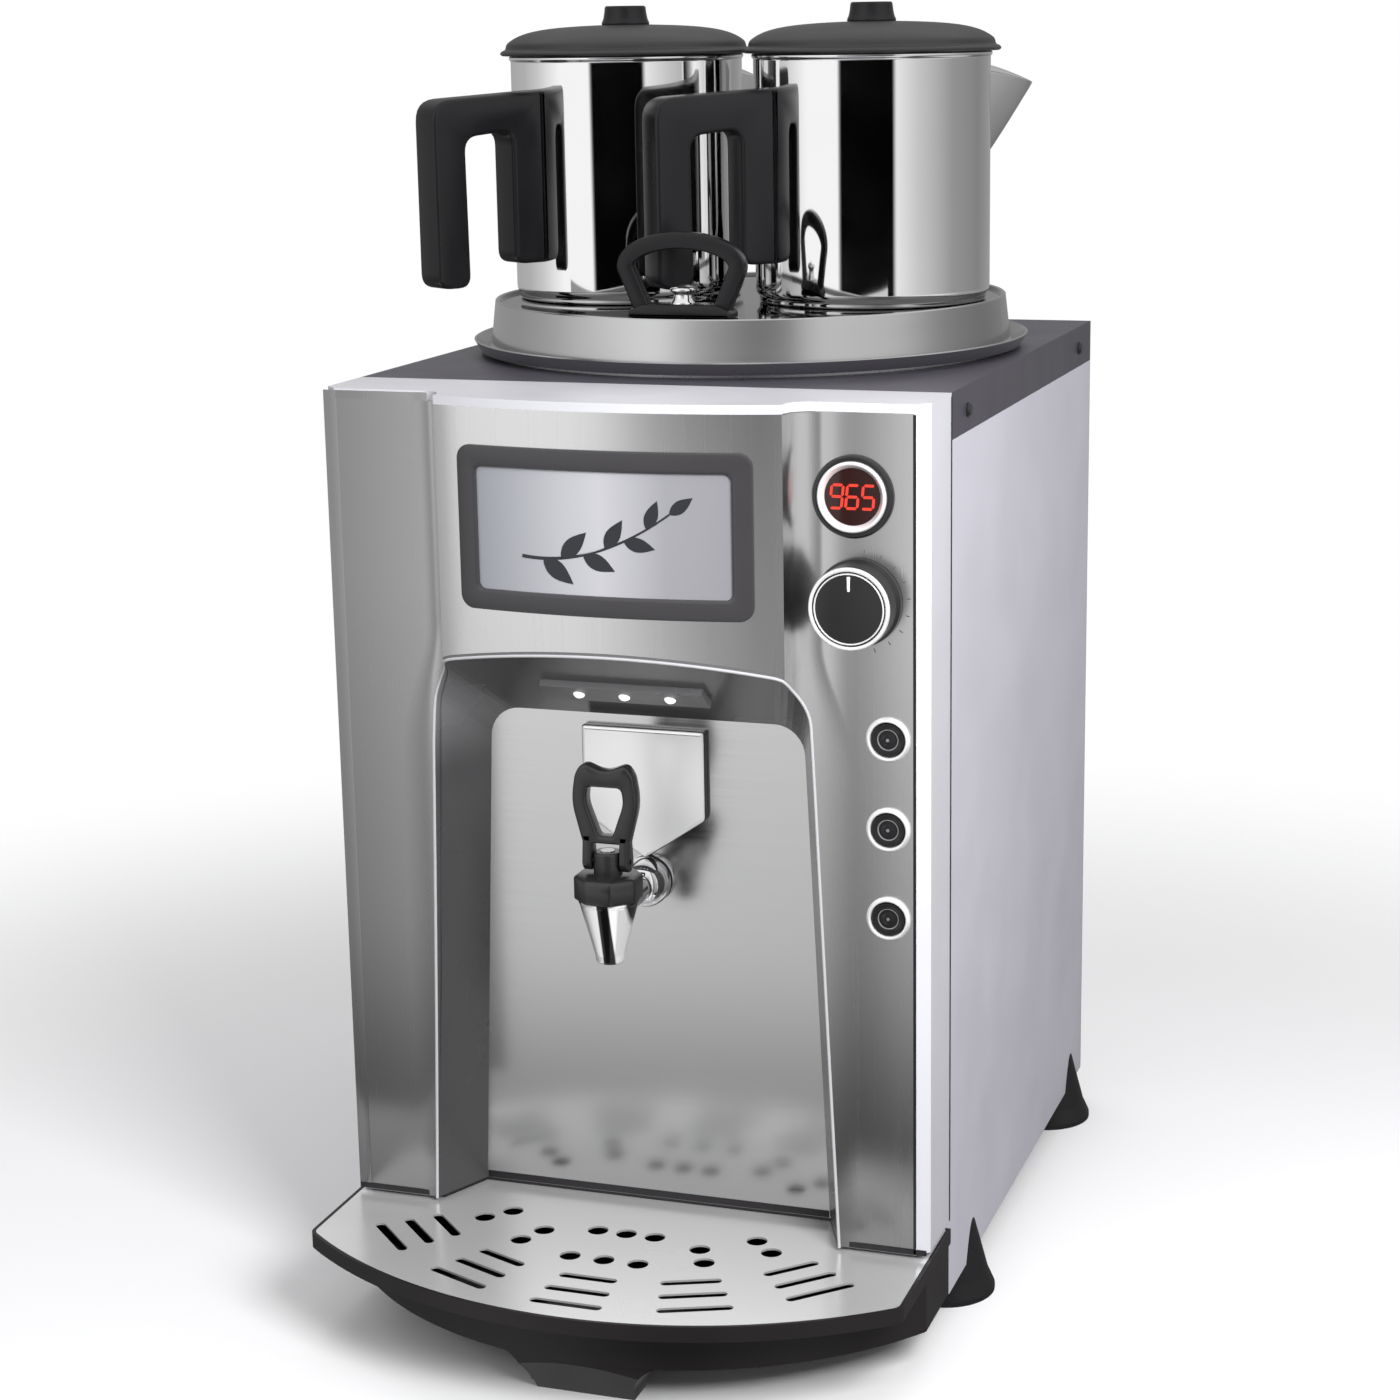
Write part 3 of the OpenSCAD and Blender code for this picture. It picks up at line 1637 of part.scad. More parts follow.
// Outer side of the lid from the knob outwards, lowered by t: nearly flat, then a round shoulder
function lid_slope(t) = [
    [lid_knob_d / 2 + 1, lid_top_z - t],
    for (place = [[0.4, 0.9], [0.56, 0.81], [0.67, 0.7], [0.75, 0.57], [0.82, 0.42], [0.88, 0.25], [0.96, 0]])
        [place[0] * lid_r - t / 2, lid_z + lid_edge + place[1] * lid_rise - t]
];

// Lid with a ring that drops into the teapot
module lid(side) {
    ring_r = pot_r - pot_wall - 1;
    color("#4b4a4c")
        translate([side * pot_x, 0, 0])
            difference() {
                turned_up(concat(
                    [[0, lid_top_z + 0.5], [lid_knob_d / 2 + 1, lid_top_z + 0.5]],
                    lid_slope(0),
                    [[lid_r - 1, lid_z + lid_edge - 0.6], [lid_r, lid_z + lid_edge - 1.6], [lid_r, lid_z],
                        [ring_r, lid_z], [ring_r, lid_z - 9], [ring_r - 2, lid_z - 9],
                        [ring_r - 2, lid_z + lid_edge - lid_t]],
                    [for (step = [len(lid_slope(0)) - 2:-1:0]) lid_slope(lid_t)[step]],
                    [[lid_knob_d / 2 + 1, lid_top_z - lid_rise / 2], [0, lid_top_z - lid_rise / 2]]
                ));
                translate([0, 0, lid_z])
                    cylinder(r = stud_r + fit, h = lid_rise + lid_edge + 2);
            }
}

module lid_knob(side) {
    color("#1f1f21")
        translate([side * pot_x, 0, 0])
            turned_up([
                [0, lid_top_z - lid_t - 6], [stud_r, lid_top_z - lid_t - 6], [stud_r, lid_top_z + 0.5],
                [lid_knob_d / 2, lid_top_z + 0.5], [lid_knob_d / 2 - 1.6, lid_top_z + lid_knob_h / 2],
                [lid_knob_d / 2 - 2.2, lid_top_z + lid_knob_h], [0, lid_top_z + lid_knob_h]
            ]);
}

module pot_left() pot(-1);
module pot_right() pot(1);
module pot_left_handle() pot_handle(-1);
module pot_right_handle() pot_handle(1);
module lid_left() lid(-1);
module lid_right() lid(1);
module lid_left_knob() lid_knob(-1);
module lid_right_knob() lid_knob(1);
module button_upper() button_cap(0);
module button_middle() button_cap(1);
module button_lower() button_cap(2);

from_origin() base_pan();
from_origin() feet();
from_origin() foot_bolts();
from_origin() side_panel_left();
from_origin() side_panel_right();
from_origin() rear_panel();
from_origin() rear_screws();
from_origin() top_cover();
from_origin() cover_screws();
from_origin() front_panel();
from_origin() front_plinth();
from_origin() front_cover();
from_origin() front_skin();
from_origin() recess_liner();
from_origin() light_bar();
from_origin() light_leds();
from_origin() sign_frame();
from_origin() sign_panel();
from_origin() sign_lamp();
from_origin() thermometer_case();
from_origin() thermometer_ring();
from_origin() thermometer_window();
from_origin() thermostat();
from_origin() thermostat_knob();
from_origin() knob_ring();
from_origin() button_bezels();
from_origin() switch_bodies();
from_origin() button_upper();
from_origin() button_middle();
from_origin() button_lower();
from_origin() tap_plate();
from_origin() tap_body();
from_origin() tap_gasket();
from_origin() tap_nut();
from_origin() tap_bonnet();
from_origin() tap_stem();
from_origin() seat_cup();
from_origin() tap_lever();
from_origin() lever_pin();
from_origin() boiler_tank();
from_origin() tank_seal();
from_origin() heating_element();
from_origin() heater_flange();
from_origin() temperature_probe();
from_origin() cord_gland();
from_origin() drip_tray();
from_origin() drip_plate();
from_origin() steam_dish();
from_origin() loop_handle();
from_origin() loop_nut();
from_origin() pot_left();
from_origin() pot_left_handle();
from_origin() pot_right();
from_origin() pot_right_handle();
from_origin() lid_left();
from_origin() lid_left_knob();
from_origin() lid_right();
from_origin() lid_right_knob();
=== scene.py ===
from math import cos, pi, radians, sin

import bpy
import numpy as np
from mathutils import Matrix, Vector


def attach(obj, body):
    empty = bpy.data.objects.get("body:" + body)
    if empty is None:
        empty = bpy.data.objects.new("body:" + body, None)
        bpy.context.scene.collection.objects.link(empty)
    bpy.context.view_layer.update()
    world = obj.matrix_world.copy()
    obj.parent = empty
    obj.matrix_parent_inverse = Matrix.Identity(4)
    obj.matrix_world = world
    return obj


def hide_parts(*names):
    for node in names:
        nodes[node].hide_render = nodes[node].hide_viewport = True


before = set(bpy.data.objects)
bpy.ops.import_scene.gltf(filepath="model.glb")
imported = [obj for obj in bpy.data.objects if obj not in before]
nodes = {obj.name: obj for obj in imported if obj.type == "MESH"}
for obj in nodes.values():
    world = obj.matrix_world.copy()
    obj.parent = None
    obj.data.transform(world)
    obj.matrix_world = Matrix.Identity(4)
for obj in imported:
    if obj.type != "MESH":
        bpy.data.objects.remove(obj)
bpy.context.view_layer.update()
print("frame loaded:", len(nodes), "nodes")

# Pieces are in millimetres from the boiler's upright axis, which stands axisY behind the part's origin
axisY = 79.75
millimetre = 0.001
sides = (("left", -1), ("right", 1))


# Camera, light and floor, in metres


def placed(name, data):
    # a new object in the scene, at the origin
    item = bpy.data.objects.new(name, data)
    bpy.context.scene.collection.objects.link(item)
    return item


cameraPlace = {"azimuth": 18.42, "elevation": 12.99, "roll": -0.85, "distance": 1.75913,
               "target": (0.0, 0.03975, 0.348), "focal": 2823.67, "centre": (735.55, 675.26), "image": 1400,
               "sensor": 36, "clip": 50}


def makeCamera(place):
    # looks back along a direction given by azimuth and elevation, then rolls about it
    az, el, roll = (radians(place[k]) for k in ("azimuth", "elevation", "roll"))
    back = Vector((sin(az) * cos(el), -cos(az) * cos(el), sin(el)))
    right = Vector((cos(az), sin(az), 0))
    up = back.cross(right)
    turnedRight = cos(roll) * right + sin(roll) * up
    turnedUp = cos(roll) * up - sin(roll) * right
    image, (centreX, centreY) = place["image"], place["centre"]
    data = bpy.data.cameras.new("photoCamera")
    data.sensor_width = place["sensor"]
    data.lens = place["focal"] / image * place["sensor"]
    data.shift_x = (image / 2 - centreX) / image
    data.shift_y = (centreY - image / 2) / image
    data.clip_end = place["clip"]
    camera = placed("photoCamera", data)
    eye = Vector(place["target"]) + back * place["distance"]
    turn = Matrix((turnedRight, turnedUp, back)).transposed().to_4x4()
    camera.matrix_world = Matrix.Translation(eye) @ turn
    bpy.context.scene.camera = camera


makeCamera(cameraPlace)
bpy.context.scene.view_settings.view_transform = "Standard"

lampAim = (0, 0, 0.35)
lampPlan = {
    "keyLamp": {"at": (-1.5, -2.0, 2.3), "size": 1.8, "power": 20},
    "sideLamp": {"at": (0.75, -0.85, 0.9), "size": 0.5, "power": 19},
    "topLamp": {"at": (0.1, 0.3, 2.9), "size": 2.2, "power": 19},
}


def makeLamps(plan, target):
    for name, row in plan.items():
        data = bpy.data.lights.new(name, "AREA")
        data.shape = "SQUARE"
        data.size = row["size"]
        data.energy = row["power"]
        lamp = placed(name, data)
        lamp.location = row["at"]
        aim = Vector(target) - Vector(row["at"])
        lamp.rotation_euler = aim.to_track_quat("-Z", "Y").to_euler()
        lamp.visible_glossy = False


makeLamps(lampPlan, lampAim)


def added(tree, kind, feeds=None, **settings):
    # a new node with its settings; a feed is a number, a colour or another node's output
    node = tree.nodes.new("ShaderNode" + kind)
    for name, value in settings.items():
        setattr(node, name, value)
    for socket, value in (feeds or {}).items():
        if isinstance(value, bpy.types.NodeSocket):
            tree.links.new(value, node.inputs[socket])
        else:
            node.inputs[socket].default_value = value
    return node


def mapped(tree, value, span, to=(0.0, 1.0), smooth=True):
    # brings a value from one span to another, held at the ends
    feeds = dict(zip((0, "From Min", "From Max", "To Min", "To Max"), (value, *span, *to)))
    return added(tree, "MapRange", feeds, interpolation_type="SMOOTHSTEP" if smooth else "LINEAR").outputs[0]


def calculated(tree, kind, first, second):
    # one sum on two values
    return added(tree, "Math", {0: first, 1: second}, operation=kind).outputs[0]


def mixed(tree, factor, first, second):
    # blends two colours by a factor
    return added(tree, "Mix", {0: factor, 6: first, 7: second}, data_type="RGBA").outputs[2]


def ramped(tree, value, stops):
    # colours along a value from 0 to 1, given as (place, colour)
    node = added(tree, "ValToRGB", {0: value})
    ends = node.color_ramp.elements
    while len(ends) < len(stops):
        ends.new(0.5)
    for end, (place, colour) in zip(ends, stops):
        end.position = place
        end.color = (*colour, 1)
    return node.outputs[0]


def greys(stops, start=0.0, span=1.0):
    # (place, brightness) pairs as stops of a ramp, with places from a start over a span
    return [((place - start) / span, (value,) * 3) for place, value in stops]


def axes(tree, coords):
    return added(tree, "SeparateXYZ", {0: coords}).outputs


def objectCoords(tree):
    return added(tree, "TexCoord").outputs["Object"]


# What polished metal sees: three rings of (bearing from the front in degrees, brightness), and the spans of
# the direction's upward share over which one gives way to the next
studio = {
    "level": [(-180, 0.34), (-139, 0.4), (-102, 0.46), (-79, 0.62), (-50, 1.0), (-18, 1.0), (-15, 0.001),
              (35.5, 0.001), (39, 0.86), (60, 0.62), (100, 0.32), (140, 0.24), (180, 0.34)],
    "below": [(-180, 0.35), (-120, 0.36), (-84, 0.5), (-58, 0.86), (-40, 1.12), (-25, 1.25), (-14, 1.12),
              (-2, 0.7), (8, 0.54), (20, 0.34), (34, 0.42), (48, 1.0), (86, 1.0), (112, 0.5), (150, 0.36),
              (180, 0.35)],
    "steep": [(-180, 0.5), (-150, 0.02), (-112, 0.02), (-100, 1.0), (-26, 1.0), (-20, 0.01), (14, 0.01),
              (22, 1.0), (56, 0.9), (66, 0.02), (98, 0.02), (120, 0.6), (180, 0.5)],
    "steepUnder": (-0.62, -0.5), "levelFrom": (-0.165, -0.125), "levelTo": (0.03, 0.1),
    "fall": (-0.42, -0.08), "deep": 0.36, "roofFrom": (0.4, 0.8), "roof": (0.95, 0.95, 0.95, 1),
    "fill": (0.14, 0.46), "fillSpan": (-0.35, 0.35),
}


def makeWorld(plan):
    # camera rays see white, reflections see rings of bright and dark walls, the rest is an even fill
    world = bpy.data.worlds.new("studio")
    bpy.context.scene.world = world
    world.use_nodes = True
    tree = world.node_tree
    tree.nodes.clear()
    x, y, up = axes(tree, added(tree, "TexCoord").outputs["Generated"])
    bearing = calculated(tree, "ARCTAN2", x, calculated(tree, "MULTIPLY", y, -1))
    place = mapped(tree, bearing, (-pi, pi), smooth=False)
    level, below, steep = (ramped(tree, place, greys(plan[ring], -180, 360))
                           for ring in ("level", "below", "steep"))
    white, black = (1, 1, 1, 1), (0, 0, 0, 1)
    dim = mixed(tree, mapped(tree, up, plan["fall"], (1 - plan["deep"], 0.0), False), below, black)
    lower = mixed(tree, mapped(tree, up, plan["steepUnder"], (1.0, 0.0)), dim, steep)
    isLevel = calculated(tree, "MULTIPLY", mapped(tree, up, plan["levelFrom"]),
                         mapped(tree, up, plan["levelTo"], (1.0, 0.0)))
    walls = mixed(tree, isLevel, lower, level)
    whole = mixed(tree, mapped(tree, up, plan["roofFrom"]), walls, plan["roof"])
    fill = mapped(tree, up, plan["fillSpan"], plan["fill"])
    seen, mirrored, even = (added(tree, "Background", {0: colour, 1: strength}).outputs[0]
                            for colour, strength in ((white, 1.0), (whole, 1.0), (white, fill)))
    path = added(tree, "LightPath").outputs
    clear = calculated(tree, "MAXIMUM", path["Is Camera Ray"], path["Is Transmission Ray"])
    others = added(tree, "MixShader", {0: path["Is Glossy Ray"], 1: even, 2: mirrored}).outputs[0]
    allRays = added(tree, "MixShader", {0: clear, 1: others, 2: seen}).outputs[0]
    added(tree, "OutputWorld", {0: allRays})


makeWorld(studio)


def bareMaterial(name):
    material = bpy.data.materials.new(name)
    material.use_nodes = True
    material.node_tree.nodes.clear()
    return material, material.node_tree


def flatSheet(name, corners, material):
    # one flat face of the stage
    mesh = bpy.data.meshes.new(name)
    mesh.from_pydata(corners, [], [list(range(len(corners)))])
    mesh.materials.append(material)
    return placed(name, mesh)


def arcPoints(radius, start, end, count, closed=False):
    # points on a circle about the origin; a closed one leaves out its last point
    angle = np.linspace(start, end, count, endpoint=not closed)
    return radius * np.column_stack([np.cos(angle), np.sin(angle)])


floorPlan = {"radius": 1.25, "fade": 0.75, "margin": 0.02, "sides": 96, "colour": (0.86, 0.86, 0.87, 1)}


def makeFloor(plan):
    # a disc that fades out towards its edge, so no line shows where it ends
    radius = plan["radius"]
    rim = np.pad(arcPoints(radius, 0, 2 * pi, plan["sides"], True), ((0, 0), (0, 1)))
    material, tree = bareMaterial("paleFloor")
    away = added(tree, "VectorMath", {0: objectCoords(tree)}, operation="LENGTH").outputs["Value"]
    fade = mapped(tree, away, (radius - plan["fade"], radius - plan["margin"]))
    matt = added(tree, "BsdfDiffuse", {0: plan["colour"]}).outputs[0]
    through = added(tree, "BsdfTransparent").outputs[0]
    blend = added(tree, "MixShader", {0: fade, 1: matt, 2: through}).outputs[0]
    added(tree, "OutputMaterial", {0: blend})
    floor = flatSheet("floor", rim, material)
    floor.visible_glossy = False  # metal sees the studio's own lower half instead
    floor.visible_diffuse = False  # and no light comes back up from it


makeFloor(floorPlan)

# Grey cards that only reflections see, close to the two columns: x from and to, the glow low and high, and
# the share of it at the ends of a run in x
cardPlan = {
    "y": -0.215, "z": (0.1, 0.56), "span": (0.1, 0.43),
    "leftCard": {"x": (-0.3, -0.132), "glow": (0.22, 0.42), "ends": (0.7, 1.15), "run": (-0.2, -0.13)},
    "rightCard": {"x": (0.107, 0.24), "glow": (0.18, 0.62), "ends": (0.4, 1.06), "run": (0.114, 0.15)},
}


def makeCard(plan, name):
    # an upright sheet in front of the object whose glow grows with height and from end to end
    row, y = plan[name], plan["y"]
    (start, end), (low, high) = row["x"], plan["z"]
    material, tree = bareMaterial(name)
    x, _, up = axes(tree, objectCoords(tree))
    strength = calculated(tree, "MULTIPLY", mapped(tree, up, plan["span"], row["glow"], False),
                          mapped(tree, x, row["run"], row["ends"], False))
    added(tree, "OutputMaterial", {0: added(tree, "Emission", {"Strength": strength}).outputs[0]})
    card = flatSheet(name, [(start, y, low), (end, y, low), (end, y, high), (start, y, high)], material)
    for ray in ("camera", "diffuse", "transmission", "shadow", "volume_scatter"):
        setattr(card, "visible_" + ray, False)


for cardName in ("leftCard", "rightCard"):
    makeCard(cardPlan, cardName)
print("camera, lamps, floor and cards placed")


# Finishes


def noiseGroup(name, masks, detail, rough):
    # a noise for each mask; a mask is given with the input that sets its scale and that scale's usual value
    group = bpy.data.node_groups.new(name, "ShaderNodeTree")
    group.interface.new_socket("Vector", in_out="INPUT", socket_type="NodeSocketVector")
    for mask, (label, scale) in masks.items():
        socket = group.interface.new_socket(label, in_out="INPUT", socket_type="NodeSocketFloat")
        socket.default_value = scale
        group.interface.new_socket(mask, in_out="OUTPUT", socket_type="NodeSocketFloat")
    start, end = group.nodes.new("NodeGroupInput").outputs, group.nodes.new("NodeGroupOutput").inputs
    for mask, (label, _) in masks.items():
        noise = added(group, "TexNoise", {"Vector": start["Vector"], "Scale": start[label], "Detail": detail,
                                          "Roughness": rough})
        group.links.new(noise.outputs[0], end[mask])
    return group


# handling marks, and the fine texture of a moulding or a coat of paint
mottle = noiseGroup("mottle", {"Marks": ("Coarse", 14.0), "Texture": ("Fine", 900.0)}, 3, 0.5)
# on coordinates squeezed across the brushing: fine lines, and broader streaks among them
brushing = noiseGroup("brushing", {"Lines": ("Lines", 1.0), "Streaks": ("Streaks", 0.12)}, 4, 0.65)
finish = {}
bumpShare = 0.25
noiseSpan = (0.3, 0.7)  # where noise mostly stays


def startFinish(name):
    finish[name], tree = bareMaterial(name)
    return tree, objectCoords(tree)


def endFinish(tree, colour, rough, bump, depth, metal, more=None):
    # the shader, with a bump from the height of a fine texture
    normal = added(tree, "Bump", {"Strength": bumpShare, "Distance": depth, "Height": bump}).outputs[0]
    shader = added(tree, "BsdfPrincipled", {"Base Color": colour, "Roughness": rough, "Normal": normal,
                                            "Metallic": metal, **(more or {})})
    added(tree, "OutputMaterial", {0: shader.outputs[0]})


def around(tree, noise, middle, spread):
    # noise brought to values about a middle
    return mapped(tree, noise, noiseSpan, (middle - spread, middle + spread), False)


def tint(tree, noise, colour, change):
    # the colour, darker or lighter by a share that follows the noise
    darker = tuple(c * (1 - change) for c in colour)
    lighter = tuple(min(c * (1 + change), 1) for c in colour)
    return mixed(tree, mapped(tree, noise, noiseSpan, smooth=False), (*darker, 1), (*lighter, 1))


def scaled(tree, colour, share):
    return added(tree, "VectorMath", {0: colour, "Scale": share}, operation="SCALE").outputs[0]


def footShade(tree, coords, colour, foot):
    # painted shade: a colour duller below; foot gives two heights and the share of the colour left at the
    # lower one
    if not foot:
        return colour
    return scaled(tree, colour, mapped(tree, axes(tree, coords)["Z"], foot[:2], (foot[2], 1.0)))


def moulded(name, colour, rough, change=0.08, spread=0.06, fine=900, depth=0.00004, metal=0.0, coat=0.0,
            shine=0.5, foot=None, glow=None):
    # plastic, paint, rubber, plain metal: marks change colour and gloss, the fine texture is a shallow bump
    tree, coords = startFinish(name)
    noise = added(tree, "Group", {"Vector": coords, "Fine": fine}, node_tree=mottle).outputs
    shade = footShade(tree, coords, tint(tree, noise["Marks"], colour, change), foot)
    more = {"Specular IOR Level": shine, "Coat Weight": coat}
    if glow:
        more.update({"Emission Color": (*glow, 1), "Emission Strength": 1.0})
    endFinish(tree, shade, around(tree, noise["Marks"], rough, spread), noise["Texture"], depth, metal, more)


def brushed(name, colour, rough, along, change=0.06, spread=0.08, depth=0.00001, foot=None):
    # sheet metal: along gives how fast the lines change in x, y and z, so small values run with the brushing
    tree, coords = startFinish(name)
    squeezed = added(tree, "Mapping", {0: coords, "Scale": along}).outputs[0]
    noise = added(tree, "Group", {"Vector": squeezed}, node_tree=brushing).outputs
    shade = footShade(tree, coords, tint(tree, noise["Lines"], colour, change), foot)
    endFinish(tree, shade, around(tree, noise["Streaks"], rough, spread), noise["Lines"], depth, 1.0)


def polishedInside(name, colour, rough, smooth, radius, share, change=0.02, depth=0.000001, edge=0.0004):
    # turned sheet: satin outside a radius about the boiler's axis, polished and darker inside it; the darker
    # colour inside is a painted dark reflection
    tree, coords = startFinish(name)
    flat = added(tree, "Mapping", {0: coords, "Location": (0, -axisY * millimetre, 0), "Scale": (1, 1, 0)})
    away = added(tree, "VectorMath", {0: flat.outputs[0]}, operation="LENGTH").outputs["Value"]
    noise = added(tree, "Group", {"Vector": coords}, node_tree=mottle).outputs
    step = (radius - edge, radius + edge)
    shade = mapped(tree, away, step, (share, 1.0))
    colour = scaled(tree, tint(tree, noise["Marks"], colour, change), shade)
    endFinish(tree, colour, mapped(tree, away, step, (smooth, rough)), noise["Texture"], depth, 1.0)


def faded(name, stops, rough, reach, metal=0.0, spread=0.04, depth=0.000003):
    # a colour that changes with x, as far as reach to both sides of the middle
    tree, coords = startFinish(name)
    across = mapped(tree, axes(tree, coords)["X"], (-reach, reach), smooth=False)
    noise = added(tree, "Group", {"Vector": coords}, node_tree=mottle).outputs
    gloss = around(tree, noise["Marks"], rough, spread)
    endFinish(tree, ramped(tree, across, stops), gloss, noise["Texture"], depth, metal)


moulded("sidePaint", (0.60, 0.585, 0.655), 0.42, change=0.03, fine=1400)
moulded("rearPaint", (0.42, 0.42, 0.46), 0.45, change=0.04, fine=1400)
moulded("topPaint", (0.056, 0.052, 0.066), 0.4, change=0.06, fine=1400)
moulded("basePaint", (0.25, 0.25, 0.26), 0.5)
moulded("footPlastic", (0.008, 0.008, 0.009), 0.55, change=0.15, shine=0.3)
moulded("boltZinc", (0.55, 0.55, 0.56), 0.32, metal=1.0)
moulded("screwBlack", (0.02, 0.02, 0.022), 0.35, metal=0.3)
moulded("coverPlastic", (0.66, 0.66, 0.705), 0.24, change=0.02, spread=0.03)
# painted shade: the skin's colour falls to 0.32 of itself towards its foot
brushed("skinSteel", (0.80, 0.80, 0.805), 0.26, (5200, 5200, 30), 0.012, 0.02, 0.000001, (0.068, 0.26, 0.32))
moulded("plinthPlastic", (0.010, 0.009, 0.010), 0.5, change=0.15)
# painted shade: the back wall's colour falls to 0.45 of itself towards its foot
brushed("panelSteel", (0.72, 0.72, 0.725), 0.18, (30, 5200, 5200), 0.012, 0.02, 0.000001, (0.07, 0.24, 0.45))
# painted shade: the liner's colour falls to 0.42 of itself below the top of the recess
moulded("linerPlastic", (0.14, 0.137, 0.142), 0.26, change=0.05, spread=0.03, coat=0.12, depth=0.000006,
        foot=(0.325, 0.37, 0.42))
moulded("lightPlastic", (0.15, 0.15, 0.155), 0.3)
moulded("signPlastic", (0.042, 0.040, 0.043), 0.34, change=0.05)
moulded("instrumentPlastic", (0.012, 0.012, 0.013), 0.22, change=0.12, coat=0.3)
moulded("switchPlastic", (0.03, 0.03, 0.032), 0.5)
moulded("knobPlastic", (0.014, 0.014, 0.015), 0.34, change=0.15)
moulded("buttonPlastic", (0.006, 0.006, 0.007), 0.3, change=0.15, coat=0.1)
moulded("chrome", (0.86, 0.86, 0.87), 0.06, change=0.015, spread=0.025, metal=1.0, depth=0.000002)
moulded("plateAluminium", (0.95, 0.95, 0.955), 0.34, change=0.01, spread=0.02, metal=0.55, depth=0.000002)
moulded("tapPlastic", (0.014, 0.014, 0.015), 0.26, change=0.15, coat=0.2)
moulded("pinSteel", (0.6, 0.6, 0.61), 0.25, metal=1.0)
moulded("silicone", (0.55, 0.52, 0.47), 0.55)
moulded("gasketRubber", (0.02, 0.02, 0.02), 0.7)
moulded("nutBrass", (0.62, 0.46, 0.20), 0.3, metal=1.0)
brushed("tankSteel", (0.6, 0.6, 0.61), 0.3, (1400, 1400, 20))
moulded("heaterSteel", (0.3, 0.29, 0.28), 0.45, metal=1.0)
moulded("trayPlastic", (0.012, 0.0095, 0.0105), 0.36, change=0.12, shine=0.4)
moulded("plateSteel", (0.93, 0.93, 0.935), 0.24, change=0.02, spread=0.04, metal=0.66, depth=0.000003)
# painted reflection: inside the rim the deck's colour falls to 0.22 of the satin's
polishedInside("dishSteel", (0.55, 0.55, 0.555), 0.22, 0.05, 0.1545, 0.22)
moulded("handlePlastic", (0.008, 0.008, 0.009), 0.3, change=0.15, shine=0.3)
moulded("potSteel", (0.90, 0.90, 0.90), 0.045, change=0.012, spread=0.02, metal=1.0, depth=0.000002)
moulded("lidCoat", (0.024, 0.024, 0.025), 0.42, change=0.06, metal=0.2)
moulded("lampWhite", (0.8, 0.8, 0.8), 0.5)
moulded("pointerWhite", (0.85, 0.85, 0.85), 0.4)
moulded("rimPale", (0.52, 0.52, 0.54), 0.25, change=0.02, spread=0.03)
# also used for the painted shadow strips at the foot of the columns and the back wall
moulded("seamAndShadowDark", (0.012, 0.010, 0.012), 0.5, change=0.1)
moulded("printGrey", (0.10, 0.10, 0.105), 0.45, change=0.1)
moulded("brightChrome", (0.92, 0.92, 0.93), 0.16, change=0.015, spread=0.03, metal=0.45, depth=0.000002)
moulded("signPrint", (0.02, 0.022, 0.026), 0.4, change=0.1)
# lit lenses and segments
moulded("glowWhite", (0.9, 0.9, 0.9), 0.3, change=0.03, glow=(1.0, 1.0, 0.98))
moulded("windowRed", (0.012, 0.003, 0.003), 0.12, change=0.03, glow=(0.014, 0.0008, 0.0005))
moulded("digitRed", (0.4, 0.03, 0.02), 0.3, change=0.03, glow=(0.55, 0.025, 0.012))
faded("signPane", [(0.0, (0.30, 0.31, 0.345)), (0.36, (0.46, 0.47, 0.50)), (0.5, (0.50, 0.50, 0.53)),
                   (0.75, (0.30, 0.30, 0.325)), (1.0, (0.25, 0.25, 0.27))], 0.22, 0.075)
# painted reflections: bright and dark stripes across the cone, as (place, brightness)
coneReflectionStripes = [(0.0, 0.03), (0.14, 0.05), (0.18, 0.95), (0.46, 0.95), (0.48, 0.01), (0.65, 0.01),
               (0.67, 0.95), (0.88, 0.95), (0.92, 0.03)]
faded("coneChrome", greys(coneReflectionStripes), 0.1, 0.017, 0.4)
print("finishes mixed:", len(finish))


# Surfaces worked out with numpy


def gridFaces(rows, columns, closeRows=False, closeColumns=True):
    # quads between neighbours of a grid of points that is stored row by row
    row = np.arange(rows if closeRows else rows - 1)[:, None]
    column = np.arange(columns if closeColumns else columns - 1)[None, :]
    nextRow, nextColumn = (row + 1) % rows, (column + 1) % columns
    corners = [row * columns + column, row * columns + nextColumn, nextRow * columns + nextColumn,
               nextRow * columns + column]
    return np.stack(corners, -1).reshape(-1, 4)


def openSheet(points):
    # a grid of points with free edges
    return points.reshape(-1, 3), [gridFaces(*points.shape[:2], closeColumns=False)]


def softened(points, radius, steps=5, closed=False):
    # rounds each corner by a parabola between the places one radius before and after it
    points = np.asarray(points, float)
    toBefore, toAfter = np.roll(points, 1, 0) - points, np.roll(points, -1, 0) - points
    before, after = np.linalg.norm(toBefore, axis=1), np.linalg.norm(toAfter, axis=1)
    cut = np.minimum(np.broadcast_to(radius, before.shape), 0.48 * np.minimum(before, after))
    start = points + toBefore * (cut / before)[:, None]
    end = points + toAfter * (cut / after)[:, None]
    t = np.linspace(0, 1, steps)[None, :, None]
    curve = (1 - t) ** 2 * start[:, None] + 2 * t * (1 - t) * points[:, None] + t ** 2 * end[:, None]
    if closed:
        return curve.reshape(-1, points.shape[1])
    return np.concatenate([points[:1], curve[1:-1].reshape(-1, points.shape[1]), points[-1:]])


def evenly(path, count, closed=False):
    # the same line with points at equal distances along it
    path = np.concatenate([path, path[:1]]) if closed else np.asarray(path, float)
    run = np.concatenate([[0], np.cumsum(np.linalg.norm(np.diff(path, axis=0), axis=1))])
    at = np.linspace(0, run[-1], count, endpoint=not closed)
    return np.column_stack([np.interp(at, run, path[:, k]) for k in range(path.shape[1])])


